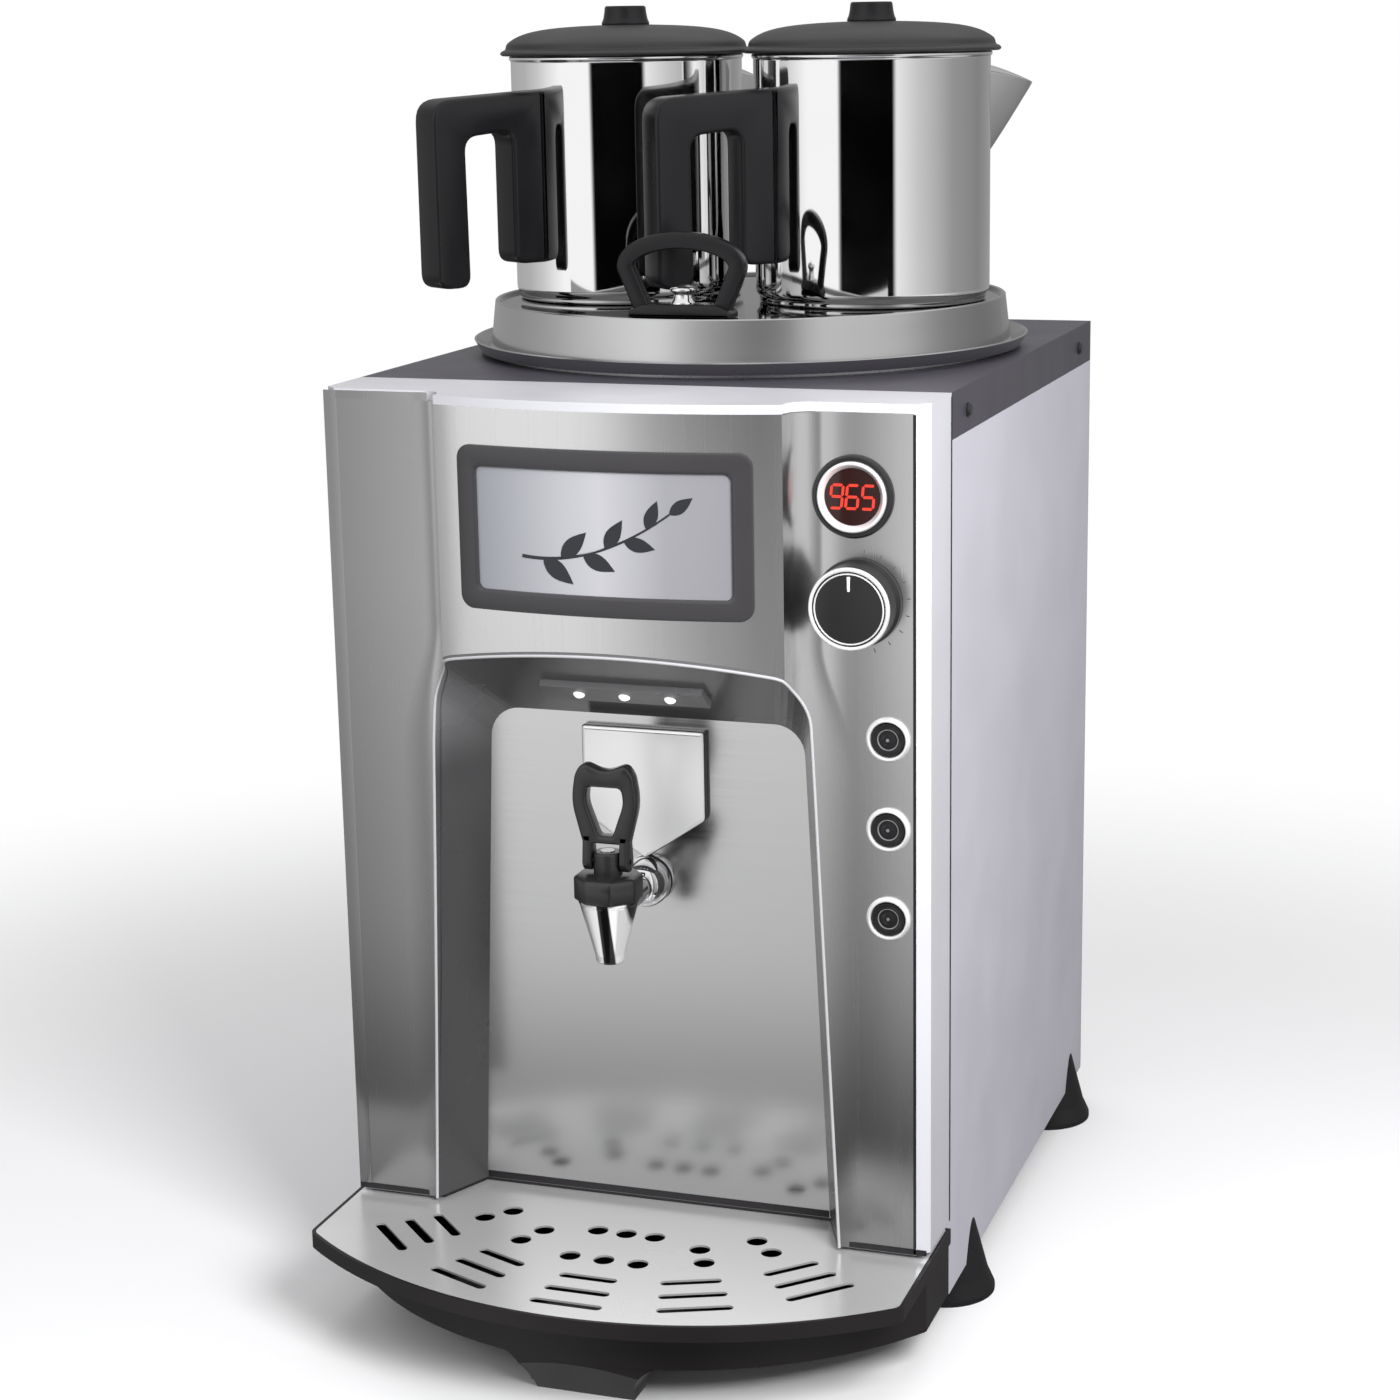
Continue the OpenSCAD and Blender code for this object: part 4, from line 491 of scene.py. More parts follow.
def inset(outline, by):
    # moves each point of a closed outline inwards, so that both edges beside it move by the same distance
    edge = np.roll(outline, -1, 0) - outline
    normal = np.column_stack([-edge[:, 1], edge[:, 0]]) / np.linalg.norm(edge, axis=1)[:, None]
    before = np.roll(normal, 1, 0)
    share = np.maximum(1 + (normal * before).sum(1), 0.4)[:, None]
    return outline + by * (normal + before) / share


def turnedFlat(points, angle):
    # flat points turned about the origin
    return points @ np.array([[cos(angle), sin(angle)], [-sin(angle), cos(angle)]])


def outward(points, faceSets):
    # turns the faces of a closed part round if its signed volume is negative
    volume = 0.0
    for faces in faceSets:
        first = points[faces[:, 0]]
        for k in range(1, faces.shape[1] - 1):
            volume += np.einsum("ij,ij->", first, np.cross(points[faces[:, k]], points[faces[:, k + 1]]))
    return faceSets if volume >= 0 else [faces[:, ::-1] for faces in faceSets]


def lofted(rows, closeRows=False):
    # loops of points joined one to the next, with flat ends unless the last joins the first
    rows = np.asarray(rows, float)
    count, width = rows.shape[:2]
    faces = [gridFaces(count, width, closeRows)]
    if not closeRows:
        faces += [np.arange(width)[None, ::-1], (count - 1) * width + np.arange(width)[None, :]]
    points = rows.reshape(-1, 3)
    return points, outward(points, faces)


def turned(profile, steps=96):
    # a profile of radius and height turned about the upright axis; an end on the axis becomes one point
    profile = np.asarray(profile, float)
    angle = np.linspace(0, 2 * pi, steps, endpoint=False)
    onAxis = profile[:, 0] < 1e-6
    ring = profile[~onAxis]
    radius, height = ring[:, :1], np.repeat(ring[:, 1:], steps, 1)
    points = np.stack([radius * np.cos(angle), radius * np.sin(angle), height], -1).reshape(-1, 3)
    faces = [gridFaces(len(ring), steps, closeRows=not onAxis.any())]
    here, there = np.arange(steps), (np.arange(steps) + 1) % steps
    for end, offset in ((0, 0), (-1, (len(ring) - 1) * steps)):
        if onAxis[end]:
            pole = np.full(steps, len(points))
            points = np.concatenate([points, [[0, 0, profile[end, 1]]]])
            faces.append(np.column_stack([pole, offset + there, offset + here] if end == 0
                                         else [pole, offset + here, offset + there]))
    return points, outward(points, faces)


def moved(part, x=0.0, y=0.0):
    return part[0] + np.array([x, y, 0.0]), part[1]


def ahead(part, x, y, z):
    # lays a part on its back: its height now runs towards the front from (x, y, z)
    points = part[0]
    return np.column_stack([x + points[:, 0], y - points[:, 2], z + points[:, 1]]), part[1]


def levels(outline, rings):
    # an outline at each (inset, height) pair
    return [np.column_stack([inset(outline, by), np.full(len(outline), height)]) for by, height in rings]


def thickened(outline, rings):
    # an outline carried through (inset, height) pairs from the back to the front, with flat ends
    return lofted(levels(outline, rings))


def roundEdges(thickness, radius, steps=4, start=0.0):
    # (inset, height) pairs of a slab whose two edges are quarter circles
    angle = np.linspace(0, pi / 2, steps)
    lower = np.column_stack([radius * (1 - np.sin(angle)), start + radius * (1 - np.cos(angle))])
    upper = np.column_stack([lower[:, 0], 2 * start + thickness - lower[:, 1]])[::-1]
    return np.concatenate([lower, upper])


def swept(path, section):
    # a section of (across, beside) pairs carried along a path: across in the path's plane, beside along y
    run = np.gradient(path, axis=0)
    run /= np.linalg.norm(run, axis=1)[:, None]
    across = np.cross(run, np.array([0.0, 1, 0]))
    across /= np.linalg.norm(across, axis=1)[:, None]
    beside = np.cross(across, run)
    rows = path[:, None] + section[None, :, :1] * across[:, None] + section[None, :, 1:] * beside[:, None]
    return lofted(rows)


def addPiece(name, parts, look, replaced=(), body="casing", sharp=38):
    # joins the parts into one mesh, smooth except along edges sharper than the given angle
    points, faces, base = [], [], 0
    for partPoints, faceSets in parts:
        points.append(partPoints)
        for block in faceSets:
            faces += (block + base).tolist()
        base += len(partPoints)
    mesh = bpy.data.meshes.new(name)
    mesh.from_pydata((np.concatenate(points) + np.array([0, axisY, 0])) * millimetre, [], faces)
    mesh.validate()
    mesh.polygons.foreach_set("use_smooth", np.ones(len(mesh.polygons), bool))
    mesh.set_sharp_from_angle(angle=radians(sharp))
    mesh.materials.append(finish[look])
    piece = placed(name, mesh)
    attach(piece, body)
    if replaced:
        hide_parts(*replaced)
    return piece


def giveWall(piece, thickness):
    # half to each side of an open sheet
    wall = piece.modifiers.new("wall", "SOLIDIFY")
    wall.thickness = thickness * millimetre
    wall.offset = 0


# Teapots, lids and handles

pot = {"x": 78.2, "radius": 71, "foot": 69, "base": 579.3, "rim": 725.8, "wall": 1.2,
       "bearing": {"left": 236, "right": 224}, "spoutTop": 718.3, "spoutTall": 70, "spoutReach": 111,
       "spoutWide": 18, "spoutFall": 12, "spoutRoot": 5, "tipHalf": 1.2, "tipTall": 1.5}


def potBody(p):
    # base ring, straight wall and a beaded rim, down the inside and back to the axis
    r, foot, low, high, wall = p["radius"], p["foot"], p["base"], p["rim"], p["wall"]
    line = [[0, low + 0.8], [foot - 4, low + 0.8], [foot - 3, low], [foot - 0.6, low], [foot, low + 0.8],
            [foot, low + 3.2], [r - 0.4, low + 5.2], [r, low + 7], [r, high - 3], [r + 1, high - 2],
            [r + 1, high], [r - wall, high], [r - wall, low + 7], [foot - wall, low + 5], [0, low + 5]]
    return turned(softened(line, 0.9), 144)


def potSpout(p, bearing):
    # cross-sections shrink from the wall to the tip; in each, height grows with the distance from the keel
    t = np.linspace(0, 1, 25)[:, None]
    s = np.linspace(-1, 1, 33)[None, :]
    root, fall = p["radius"] - p["spoutRoot"], p["spoutFall"]
    reach = root + (p["spoutReach"] - root) * t
    top = p["spoutTop"] - fall * t ** 1.2
    keel = p["spoutTop"] - p["spoutTall"] + (p["spoutTall"] - fall - p["tipTall"]) * t ** 1.12
    half = p["spoutWide"] * (1 - t) ** 0.8 + p["tipHalf"] * t
    across = half * np.sign(s) * np.abs(s) ** 0.92
    up = keel + (top - keel) * np.abs(s) ** 1.22
    c, k = -cos(bearing), -sin(bearing)
    return openSheet(np.stack([reach * c - across * k, reach * k + across * c, up], -1))


handle = {"top": 706.3, "bar": 102, "grip": 114, "root": 69.5, "barOut": 92, "gripIn": 125, "gripOut": 147,
          "wide": 22, "edge": 2.6, "fall": 4}


def potHandle(h, bearing):
    # outline of bar, arm and grip in the plane through the teapot's axis, thickened to both sides
    top = h["top"]
    line = [[h["root"], top - h["bar"]], [h["barOut"], top - h["bar"]], [h["barOut"], top - 23],
            [h["gripIn"], top - 26], [h["gripIn"] - 1, top - h["grip"]], [h["gripOut"], top - h["grip"]],
            [h["gripOut"], top - h["fall"]], [h["root"], top]]
    outline = softened(line, [1, 8, 9, 9, 8, 9, 13, 1], 7, closed=True)
    points, faces = thickened(outline, roundEdges(h["wide"], h["edge"], 5, -h["wide"] / 2))
    c, s = cos(bearing), sin(bearing)
    out, up, side = points.T
    return np.column_stack([out * c + side * s, out * s - side * c, up]), faces


lid = {"z": 726.1, "radius": 77.2, "edge": 4, "rise": 14, "knob": 14.75, "knobTall": 11, "plug": 66.8,
       "wall": 2, "drop": 9}


def lidShell(v):
    # thin flange, a round shoulder and a nearly flat top, with the ring that drops into the teapot
    z, r, plug = v["z"], v["radius"], v["plug"]
    low, top, h = z - v["drop"], z + v["edge"], v["rise"]
    inner = [[0, top + h - 3], [40, top + 0.78 * h], [57, top + 0.4 * h], [plug, z + 1.5], [plug, low],
             [plug + v["wall"], low], [plug + v["wall"], z]]
    flange = [[r - 1.4, z], [r, z + 0.8], [r, z + 1.9], [r - 1.2, z + 3.0], [r - 3.2, z + 3.7]]
    shoulder = ((0.95, 0.22), (0.9, 0.42), (0.84, 0.58), (0.77, 0.7), (0.68, 0.8), (0.56, 0.88), (0.4, 0.94),
                (0.2, 0.98), (0, 1))
    outer = flange + [[a * r, top + b * h] for a, b in shoulder]
    return turned(np.concatenate([softened(inner, 0.8), softened(outer, 6, 6)]), 144)


def lidKnob(v):
    # truncated cone with hollow flanks and a flat top
    z, r, h = v["z"] + v["edge"] + v["rise"], v["knob"], v["knobTall"]
    line = [[0, z - 1], [r - 0.4, z - 0.6], [r, z + 0.6], [r - 1.2, z + h * 0.3], [r - 1.9, z + h * 0.65],
            [r - 2.2, z + h - 0.9], [r - 2.9, z + h], [0, z + h]]
    return turned(softened(line, 0.8), 72)


for side, hand in sides:
    x, bearing = hand * pot["x"], radians(pot["bearing"][side])
    potName, lidName = f"pot_{side}", f"lid_{side}"
    addPiece(f"{potName}_shell", [moved(potBody(pot), x)], "potSteel", [potName], potName)
    spout = moved(potSpout(pot, bearing), x)
    giveWall(addPiece(f"{potName}_spout", [spout], "potSteel", [potName], potName), pot["wall"])
    addPiece(f"{potName}_grip", [moved(potHandle(handle, bearing), x)], "handlePlastic",
             [f"{potName}_handle"], potName, 60)
    addPiece(f"{lidName}_shell", [moved(lidShell(lid), x)], "lidCoat", [lidName], lidName, 50)
    addPiece(f"{lidName}_grip", [moved(lidKnob(lid), x)], "handlePlastic",
             [f"{lidName}_knob"], lidName, 50)
print("teapots built")


# Loop handle on the steam dish

loop = {"y": -126, "deck": 579, "wide": 78, "tall": 49, "waist": 29, "legs": 56, "legFoot": 3, "band": 9.5,
        "deep": 9, "baseWide": 62, "baseDeep": 18, "baseTall": 8, "cap": 7.5}


def loopBand(v):
    # half an ellipse on two legs that lean inwards, with a band section that is grooved along its outside
    a, d = v["band"] / 2, v["deep"] / 2
    arch = arcPoints(1, 0, pi, 61) * [v["wide"] / 2 - a, v["tall"] - v["waist"] - a] + [0, v["waist"]]
    leg = np.array([[v["legs"] / 2 - a, v["legFoot"]]])
    flat = evenly(softened(evenly(np.concatenate([leg, arch, leg * [-1, 1]]), 40), 3, 3), 110)
    path = np.column_stack([flat[:, 0], np.full(len(flat), v["y"]), v["deck"] + flat[:, 1]])
    section = [[-a, -d], [a, -d], [a, -1.6], [a - 1, -1.2], [a - 1, 1.2], [a, 1.6], [a, d], [-a, d]]
    return swept(path, softened(section, [1.4, 1.4, 0.4, 0.3, 0.3, 0.4, 1.4, 1.4], 4, closed=True))


def loopBase(v):
    # low block with sloping shoulders
    w, t = v["baseWide"] / 2, v["baseTall"]
    line = [[-w, 0.2], [w, 0.2], [w, t * 0.5], [w - 8, t], [8 - w, t], [-w, t * 0.5]]
    block = thickened(softened(line, [1, 1, 2, 3, 3, 2], 4, closed=True), roundEdges(v["baseDeep"], 2))
    return ahead(block, 0, v["y"] + v["baseDeep"] / 2, v["deck"])


def loopNut(v):
    # cap on a waisted neck
    z, r = v["deck"] + v["baseTall"], v["cap"]
    line = [[0, z - 0.5], [r - 0.5, z - 0.5], [r - 0.5, z + 0.6], [r - 2, z + 3], [r - 2.8, z + 5.8],
            [r, z + 7.2], [r - 0.4, z + 9], [r - 3.5, z + 10.6], [0, z + 11.4]]
    return moved(turned(softened(line, 1.2), 64), 0, v["y"])


addPiece("loop_band", [loopBand(loop), loopBase(loop)], "handlePlastic", ["loop_handle"],
         "steam_dish", 50)
addPiece("loop_cap", [loopNut(loop)], "chrome", ["loop_nut"], "steam_dish", 50)
print("loop handle built")


# Tap

tap = {"y": -268, "wall": -204, "mouth": 235.5, "mouthR": 8, "bore": 6, "coneR": 17, "coneTop": 272.5,
       "shankZ": 264, "shankR": 8, "rodEnd": 55, "ballR": 14.5, "ballY": 4.5, "ballFrom": 1.779,
       "ballTo": 0.5843, "collar": 18, "collarTop": 286.5, "bossR": 8, "bossTop": 299.5, "hollow": 0.5,
       "hollowDeep": 6}


def tapCone(v):
    # cone from the mouth to the collar, with the bore inside it
    z, r, bore, wide, top = v["mouth"], v["mouthR"], v["bore"], v["coneR"], v["coneTop"]
    line = [[bore, top], [bore, z + 0.8], [bore + 0.6, z], [r - 1, z], [r, z + 1.2], [r + 0.5, z + 5],
            [wide - 0.6, top - 2.6], [wide, top - 1.4], [wide, top]]
    return moved(turned(softened(line, 0.7, closed=True)), 0, v["y"])


def tapShank(v):
    # a rod from the cone to the wall that swells to part of a ball, between two angles from its axis
    ball = arcPoints(v["ballR"], v["ballFrom"], v["ballTo"], 28)[:, ::-1] + [0, v["ballY"]]
    rod = [[v["shankR"], ball[-1, 1] + 1.5], [v["shankR"], v["rodEnd"]], [0, v["rodEnd"]]]
    return ahead(turned(np.concatenate([[[0, ball[0, 1]]], ball, rod]), 64), 0, v["wall"], v["shankZ"])


def tapCollar(v):
    # eight-sided collar with bevelled ends, hollow below for the cup that rises with the stem, and its boss
    start = pi / 8
    corners = arcPoints(v["collar"] / cos(start), start, 2 * pi + start, 8, True)
    outline = softened(corners, 1.6, 4, closed=True)
    low, high, r, top = v["coneTop"], v["collarTop"], v["bossR"], v["bossTop"]
    hollow = levels(v["hollow"] * outline, [(0, low + v["hollowDeep"]), (0, low)])
    rings = [(1.2, low), (0.3, low + 0.4), (0, low + 1.2), (0, high - 2), (0.5, high - 1), (1.8, high)]
    boss = softened([[0, high - 1], [r, high - 1], [r, top - 0.8], [r - 0.8, top], [0, top]], 0.6)
    return [moved(part, 0, v["y"]) for part in (lofted(hollow + levels(outline, rings)), turned(boss, 48))]


lever = {"foot": 304.3, "top": 350, "half": 19.5, "pivot": 294, "prongIn": 8.3, "prongOut": 13.3, "deep": 9,
         "edge": 1.6, "waist": 23.5, "middle": 20, "points": 200}


def aroundCentre(outline, centre, count):
    # points of a closed outline at even angles about a centre
    spread = evenly(outline, 3 * count, True) - centre
    angle, away = np.arctan2(spread[:, 1], spread[:, 0]), np.hypot(spread[:, 0], spread[:, 1])
    order = np.argsort(angle)
    at = np.linspace(-pi, pi, count, endpoint=False)
    away = np.interp(at, angle[order], away[order], period=2 * pi)
    return centre + away[:, None] * np.column_stack([np.cos(at), np.sin(at)])


def mirroredLine(line):
    # an outline from its right half, given from the foot up
    return np.concatenate([line, np.array(line)[::-1] * [-1, 1]])


def leverLoop(v):
    # a ring between an outer outline with two horns and an inner hole, rounded along its edges
    foot, top, half, waist = v["foot"], v["top"], v["half"], v["foot"] + v["waist"]
    outer = mirroredLine([[v["prongOut"], foot], [half, waist], [half - 2.5, top - 6], [half - 7, top]])
    outer = np.insert(outer, 4, [0, top - 5], 0)
    hole = mirroredLine([[4.2, foot + 4.4], [half - 8.4, waist], [half - 9.6, top - 13.6]])
    centre, count = np.array([0, foot + v["middle"]]), v["points"]
    outer = aroundCentre(softened(outer, [2, 9, 5, 4, 6, 4, 5, 9, 2], 8, closed=True), centre, count)
    hole = aroundCentre(softened(hole, [2, 5, 3, 3, 5, 2], 6, closed=True), centre, count)
    rings = roundEdges(v["deep"], v["edge"])
    return lofted(levels(outer, rings) + levels(hole, rings[::-1] * [-1, 1]), closeRows=True)


def leverProng(v, hand):
    # flat ear, round about the pin, that runs up into the loop
    half, foot = v["deep"] / 2, v["foot"]
    ear = arcPoints(half + 1.2, pi, 2 * pi, 17) + [0, v["pivot"]]
    outline = np.concatenate([ear, [[half, foot], [half, foot + 4], [-half, foot + 4], [-half, foot]]])
    points, faces = thickened(outline, roundEdges(v["prongOut"] - v["prongIn"], 0.8, 3))
    along = points[:, 2] + (v["prongIn"] if hand > 0 else -v["prongOut"])
    return np.column_stack([along, tap["y"] + points[:, 0], points[:, 1]]), faces


addPiece("tap_cone", [tapCone(tap)], "coneChrome", ["tap_body"], sharp=50)
addPiece("tap_shank", [tapShank(tap)], "chrome", sharp=50)
addPiece("tap_collar", tapCollar(tap), "tapPlastic", ["tap_bonnet"], sharp=40)
leverRing = ahead(leverLoop(lever), 0, tap["y"] + lever["deep"] / 2, 0)
addPiece("tap_loop", [leverRing, leverProng(lever, 1), leverProng(lever, -1)], "tapPlastic",
         ["tap_lever"], "tap_lever", 45)

tapPlate = {"half": 37, "top": 355, "side": 303, "point": 278, "thick": 6}


def plateBack(v):
    # five-sided plate: a face with a bevel round it, and the dark edge behind it
    line = [[-v["half"], v["top"]], [-v["half"], v["side"]], [0, v["point"]], [v["half"], v["side"]],
            [v["half"], v["top"]]]
    outline, t = softened(line, [2, 2, 3, 2, 2], 4, closed=True), v["thick"]
    face = thickened(outline, [(0.5, t - 2), (0.5, t - 1), (0.8, t - 0.5), (1.9, t - 0.1), (2.4, t)])
    edge = thickened(outline, [(0.3, 0), (0, 0.4), (0, t - 1.7), (0.6, t - 1.3)])
    return [ahead(part, 0, tap["wall"], 0) for part in (face, edge)]


plateFace, plateEdge = plateBack(tapPlate)
addPiece("tap_backing", [plateFace], "plateAluminium", ["tap_plate"], sharp=25)
addPiece("tap_backing_edge", [plateEdge], "tapPlastic", ["tap_plate"], sharp=25)
print("tap built")


# Controls on the right column: profiles are (radius, distance ahead of the column)

columnY = -240
gauge = {"at": (134, 498),
         "case": [[15.6, 0.3], [22.5, 0.3], [22.5, 1.7], [21.6, 3], [19.3, 3], [19.3, 2], [15.6, 1.2]],
         "ring": [[15.5, 1.4], [19.2, 1.4], [19.2, 4.1], [18.5, 5], [17.6, 5], [15.5, 2.2]],
         "glass": [[0, 0.8], [15.7, 0.8], [15.7, 1.7], [0, 1.9]]}


def onColumn(part, place):
    # a part built upright, laid against the column at a place (x, z)
    return ahead(part, place[0], columnY, place[1])


for part, radius, look, slot, node in (
        ("case", 0.5, "instrumentPlastic", "instrument_plastic", "thermometer_case"),
        ("ring", 0.35, "brightChrome", "trim_chrome", "thermometer_ring"),
        ("glass", 0.2, "windowRed", "window_plastic", "thermometer_window")):
    profile = softened(gauge[part], radius, closed=part != "glass")
    addPiece(f"gauge_{part}", [onColumn(turned(profile), gauge["at"])], look, [node])

digits = {"show": "965", "wide": 6.4, "tall": 12.5, "pitch": 8.7, "bar": 1.5, "gap": 0.5, "lean": 0.1,
          "front": 1.9, "lift": 0.15, "bars": {"9": "abcdfg", "6": "acdefg", "5": "acdfg"}}


def digitBar(v, middle, length, isUpright):
    # six-sided bar about a middle, lying or upright, leaning with its height
    h, b = length / 2, v["bar"] / 2
    line = np.array([[-h, 0], [b - h, -b], [h - b, -b], [h, 0], [h - b, b], [b - h, b]])
    line = (line[:, ::-1] * [-1, 1] if isUpright else line) + middle
    line[:, 0] += v["lean"] * line[:, 1]
    return thickened(line, [(0, v["front"]), (0, v["front"] + v["lift"])])


def digitBars(v):
    # the bars of each figure, side by side about the window's middle
    w, h, parts = v["wide"], v["tall"], []
    places = {"a": (0, h / 2, 0), "b": (w / 2, h / 4, 1), "c": (w / 2, -h / 4, 1), "d": (0, -h / 2, 0),
              "e": (-w / 2, -h / 4, 1), "f": (-w / 2, h / 4, 1), "g": (0, 0, 0)}
    for order, figure in enumerate(v["show"]):
        shift = (order - (len(v["show"]) - 1) / 2) * v["pitch"]
        for label in v["bars"][figure]:
            x, z, isUpright = places[label]
            parts.append(digitBar(v, [x + shift, z], (h / 2 if isUpright else w) - v["gap"], isUpright))
    return [onColumn(part, gauge["at"]) for part in parts]


addPiece("gauge_digits", digitBars(digits), "digitRed", sharp=30)

knob = {"at": (137, 441),
        "body": [[3.05, 0.3], [24, 0.3], [24, 4.2], [23.2, 5.4], [22.5, 6.6], [22.5, 19.6], [20.4, 19.6],
                 [20.4, 20.2], [19.5, 20.2], [18.6, 20.0], [18.6, 20.8], [0, 21.0]],
        "shaft": [[0, 2], [3.05, 2]],
        "rim": [[20.3, 19.5], [22.5, 19.5], [22.5, 20.6], [21.9, 21.9], [21.0, 22], [20.3, 21.4]],
        "inner": [[18.5, 19.8], [19.4, 19.8], [19.4, 21.0], [19.1, 21.4], [18.8, 21.4], [18.5, 21.0]],
        "pointer": [[-0.7, 9.5], [0.7, 9.5], [0.9, 17.6], [-0.9, 17.6]],
        "pointerRings": [(0, 20.6), (0, 21.05), (0.2, 21.15)]}
knobBody = turned(np.concatenate([knob["shaft"], softened(knob["body"], 0.4)]))
knobRims = [turned(softened(knob[ring], radius, closed=True))
            for ring, radius in (("rim", 0.4), ("inner", 0.15))]
knobPointer = thickened(softened(knob["pointer"], 0.5, 3, closed=True), knob["pointerRings"])
for name, parts, look, slot, replaced in (
        ("knob_body", [knobBody], "knobPlastic", "knob_plastic", ["thermostat_knob"]),
        ("knob_rim", knobRims, "brightChrome", "trim_chrome", ["knob_ring"]),
        ("knob_pointer", [knobPointer], "pointerWhite", "trim_chrome", [])):
    addPiece(name, [onColumn(part, knob["at"]) for part in parts], look, replaced, "thermostat_knob")

scaleMarks = {"from": -72, "to": 84, "count": 9, "near": 26.4, "far": 28.6, "half": 0.3, "lift": 0.12}


def knobMarks(v):
    # short bars at even angles about the knob's axis
    near, far, half, parts = v["near"], v["far"], v["half"], []
    line = np.array([[near, -half], [far, -half], [far, half], [near, half]])
    for angle in np.radians(np.linspace(v["from"], v["to"], v["count"])):
        bar = thickened(turnedFlat(line, angle), [(0, 0), (0, v["lift"])])
        parts.append(onColumn(bar, knob["at"]))
    return parts


addPiece("knob_scale", knobMarks(scaleMarks), "printGrey")

button = {"x": 153, "z": {"upper": 366, "middle": 315.5, "lower": 265},
          "bezel": [[9.8, -3], [12, -3], [12, 0], [12.5, 0], [12.5, 1.2], [11.2, 3], [10.4, 3], [9.8, 2.2]],
          "cap": [[0, -8], [9.5, -8], [9.5, 1.5], [8.7, 2.4], [7.6, 2.1], [5, 0.8], [3.6, 1.0], [2.2, 1.7],
                  [0, 1.9]],
          "dot": [[0, 1.6], [1.1, 1.6], [0.9, 2.2], [0, 2.35]],
          "halo": [[5.3, 0.6], [5.9, 0.9], [6.0, 1.5], [5.6, 1.6], [5.2, 1.2]]}
bezel, cap = turned(softened(button["bezel"], 0.5, closed=True), 72), turned(softened(button["cap"], 0.7), 72)
dot, halo = turned(softened(button["dot"], 0.2), 32), turned(softened(button["halo"], 0.15, closed=True), 64)
places = {name: (button["x"], z) for name, z in button["z"].items()}
addPiece("button_rims", [onColumn(bezel, place) for place in places.values()], "brightChrome",
         ["button_bezels"])
for name, place in places.items():
    body = f"button_{name}"
    addPiece(f"{body}_cap", [onColumn(cap, place)], "buttonPlastic", [body], body)
    addPiece(f"{body}_dot", [onColumn(part, place) for part in (dot, halo)], "pinSteel",
             body=body)
print("controls built")


# Sign on the bulge

sign = {"z": 477, "wide": 171, "tall": 91, "corner": 8, "cornerLeast": 4, "border": 11.5, "bulgeR": 391.1154,
        "bulgeY": 121.1154, "tuck": 1.5, "pane": (-1.0, -2.6),
        "rings": [(0, -1), (0, 0.9), (0.35, 1.35), (1.0, 1.5), (9.6, 1.5), (10.6, 1.3), (11.3, 0.6),
                  (11.5, -2), (11.5, -3)]}


def onBulge(flat, lift):
    # carries points (x, z) onto the bulge, lifted ahead of it along its radius
    r, turn = sign["bulgeR"] + lift, flat[:, 0] / sign["bulgeR"]
    return np.column_stack([r * np.sin(turn), sign["bulgeY"] - r * np.cos(turn), sign["z"] + flat[:, 1]])


def roundedBox(wide, tall, corner):
    # corner arcs joined by straight runs with extra points, so the box can bend
    arc = arcPoints(corner, 0, pi / 2, 9)
    x, z = wide / 2 - corner, tall / 2 - corner
    middles = [(x, z), (-x, z), (-x, -z), (x, -z)]
    return evenly(np.concatenate([turnedFlat(arc, k * pi / 2) + middles[k] for k in range(4)]), 360, True)


def signBorder(v):
    # rings of (inset, lift) from the outer edge over the rounded face to the inner edge and back
    return lofted([onBulge(roundedBox(v["wide"] - 2 * by, v["tall"] - 2 * by,
                                      max(v["corner"] - by * 0.4, v["cornerLeast"])), lift)
                   for by, lift in v["rings"]], closeRows=True)


def signPane(v):
    # a thin sheet bent with the bulge: its four-sided section carried across the sign
    halfX, halfZ = (v[size] / 2 - v["border"] + v["tuck"] for size in ("wide", "tall"))
    across, (front, back) = np.linspace(-halfX, halfX, 61), v["pane"]
    corners = [(-halfZ, front), (halfZ, front), (halfZ, back), (-halfZ, back)]
    edges = [onBulge(np.column_stack([across, np.full(61, up)]), lift) for up, lift in corners]
    return lofted(np.stack(edges, 1))


sprig = {"from": (-46, -14), "to": (40, 12), "sag": 9, "leaves": 7, "long": 21, "wide": 4.6, "lean": 38,
         "stem": 0.8, "lift": -0.7, "back": -1.2}


def flatShape(v, outline):
    # a small outline in the pane's plane, bent with the bulge and given a thickness
    return lofted([onBulge(outline, v["back"]), onBulge(outline, v["lift"])])


def leafOutline(v, root, angle, scale):
    # width grows and shrinks along the leaf as the sine of its run, a little fuller near the root
    run = np.linspace(0, 1, 17)
    half = v["wide"] * scale * np.sin(pi * run ** 0.8)
    edge = np.concatenate([np.column_stack([run, -half]), np.column_stack([run, half])[-2:0:-1]])
    return turnedFlat(edge * [v["long"] * scale, 1], angle) + root


def signSprig(v):
    # a stem on a shallow arc with leaves to both sides by turns, the last one at its tip
    t = np.linspace(0, 1, 41)[:, None]
    start, end = np.array(v["from"]), np.array(v["to"])
    stem = start + (end - start) * t + np.array([0, -v["sag"]]) * 4 * t * (1 - t)
    run = np.gradient(stem, axis=0)
    across = np.column_stack([-run[:, 1], run[:, 0]]) / np.linalg.norm(run, axis=1)[:, None]
    half, last = v["stem"] * (1.15 - 0.5 * t), v["leaves"] - 1
    parts = [flatShape(v, np.concatenate([stem - half * across, (stem + half * across)[::-1]]))]
    for order in range(v["leaves"]):
        spot = int(6 + 34 * order / last)
        heading = np.arctan2(run[spot, 1], run[spot, 0])
        turn = 0 if order == last else radians(v["lean"]) * (1 if order % 2 else -1)
        parts.append(flatShape(v, leafOutline(v, stem[spot], heading + turn, 1.05 - 0.05 * order)))
    return parts


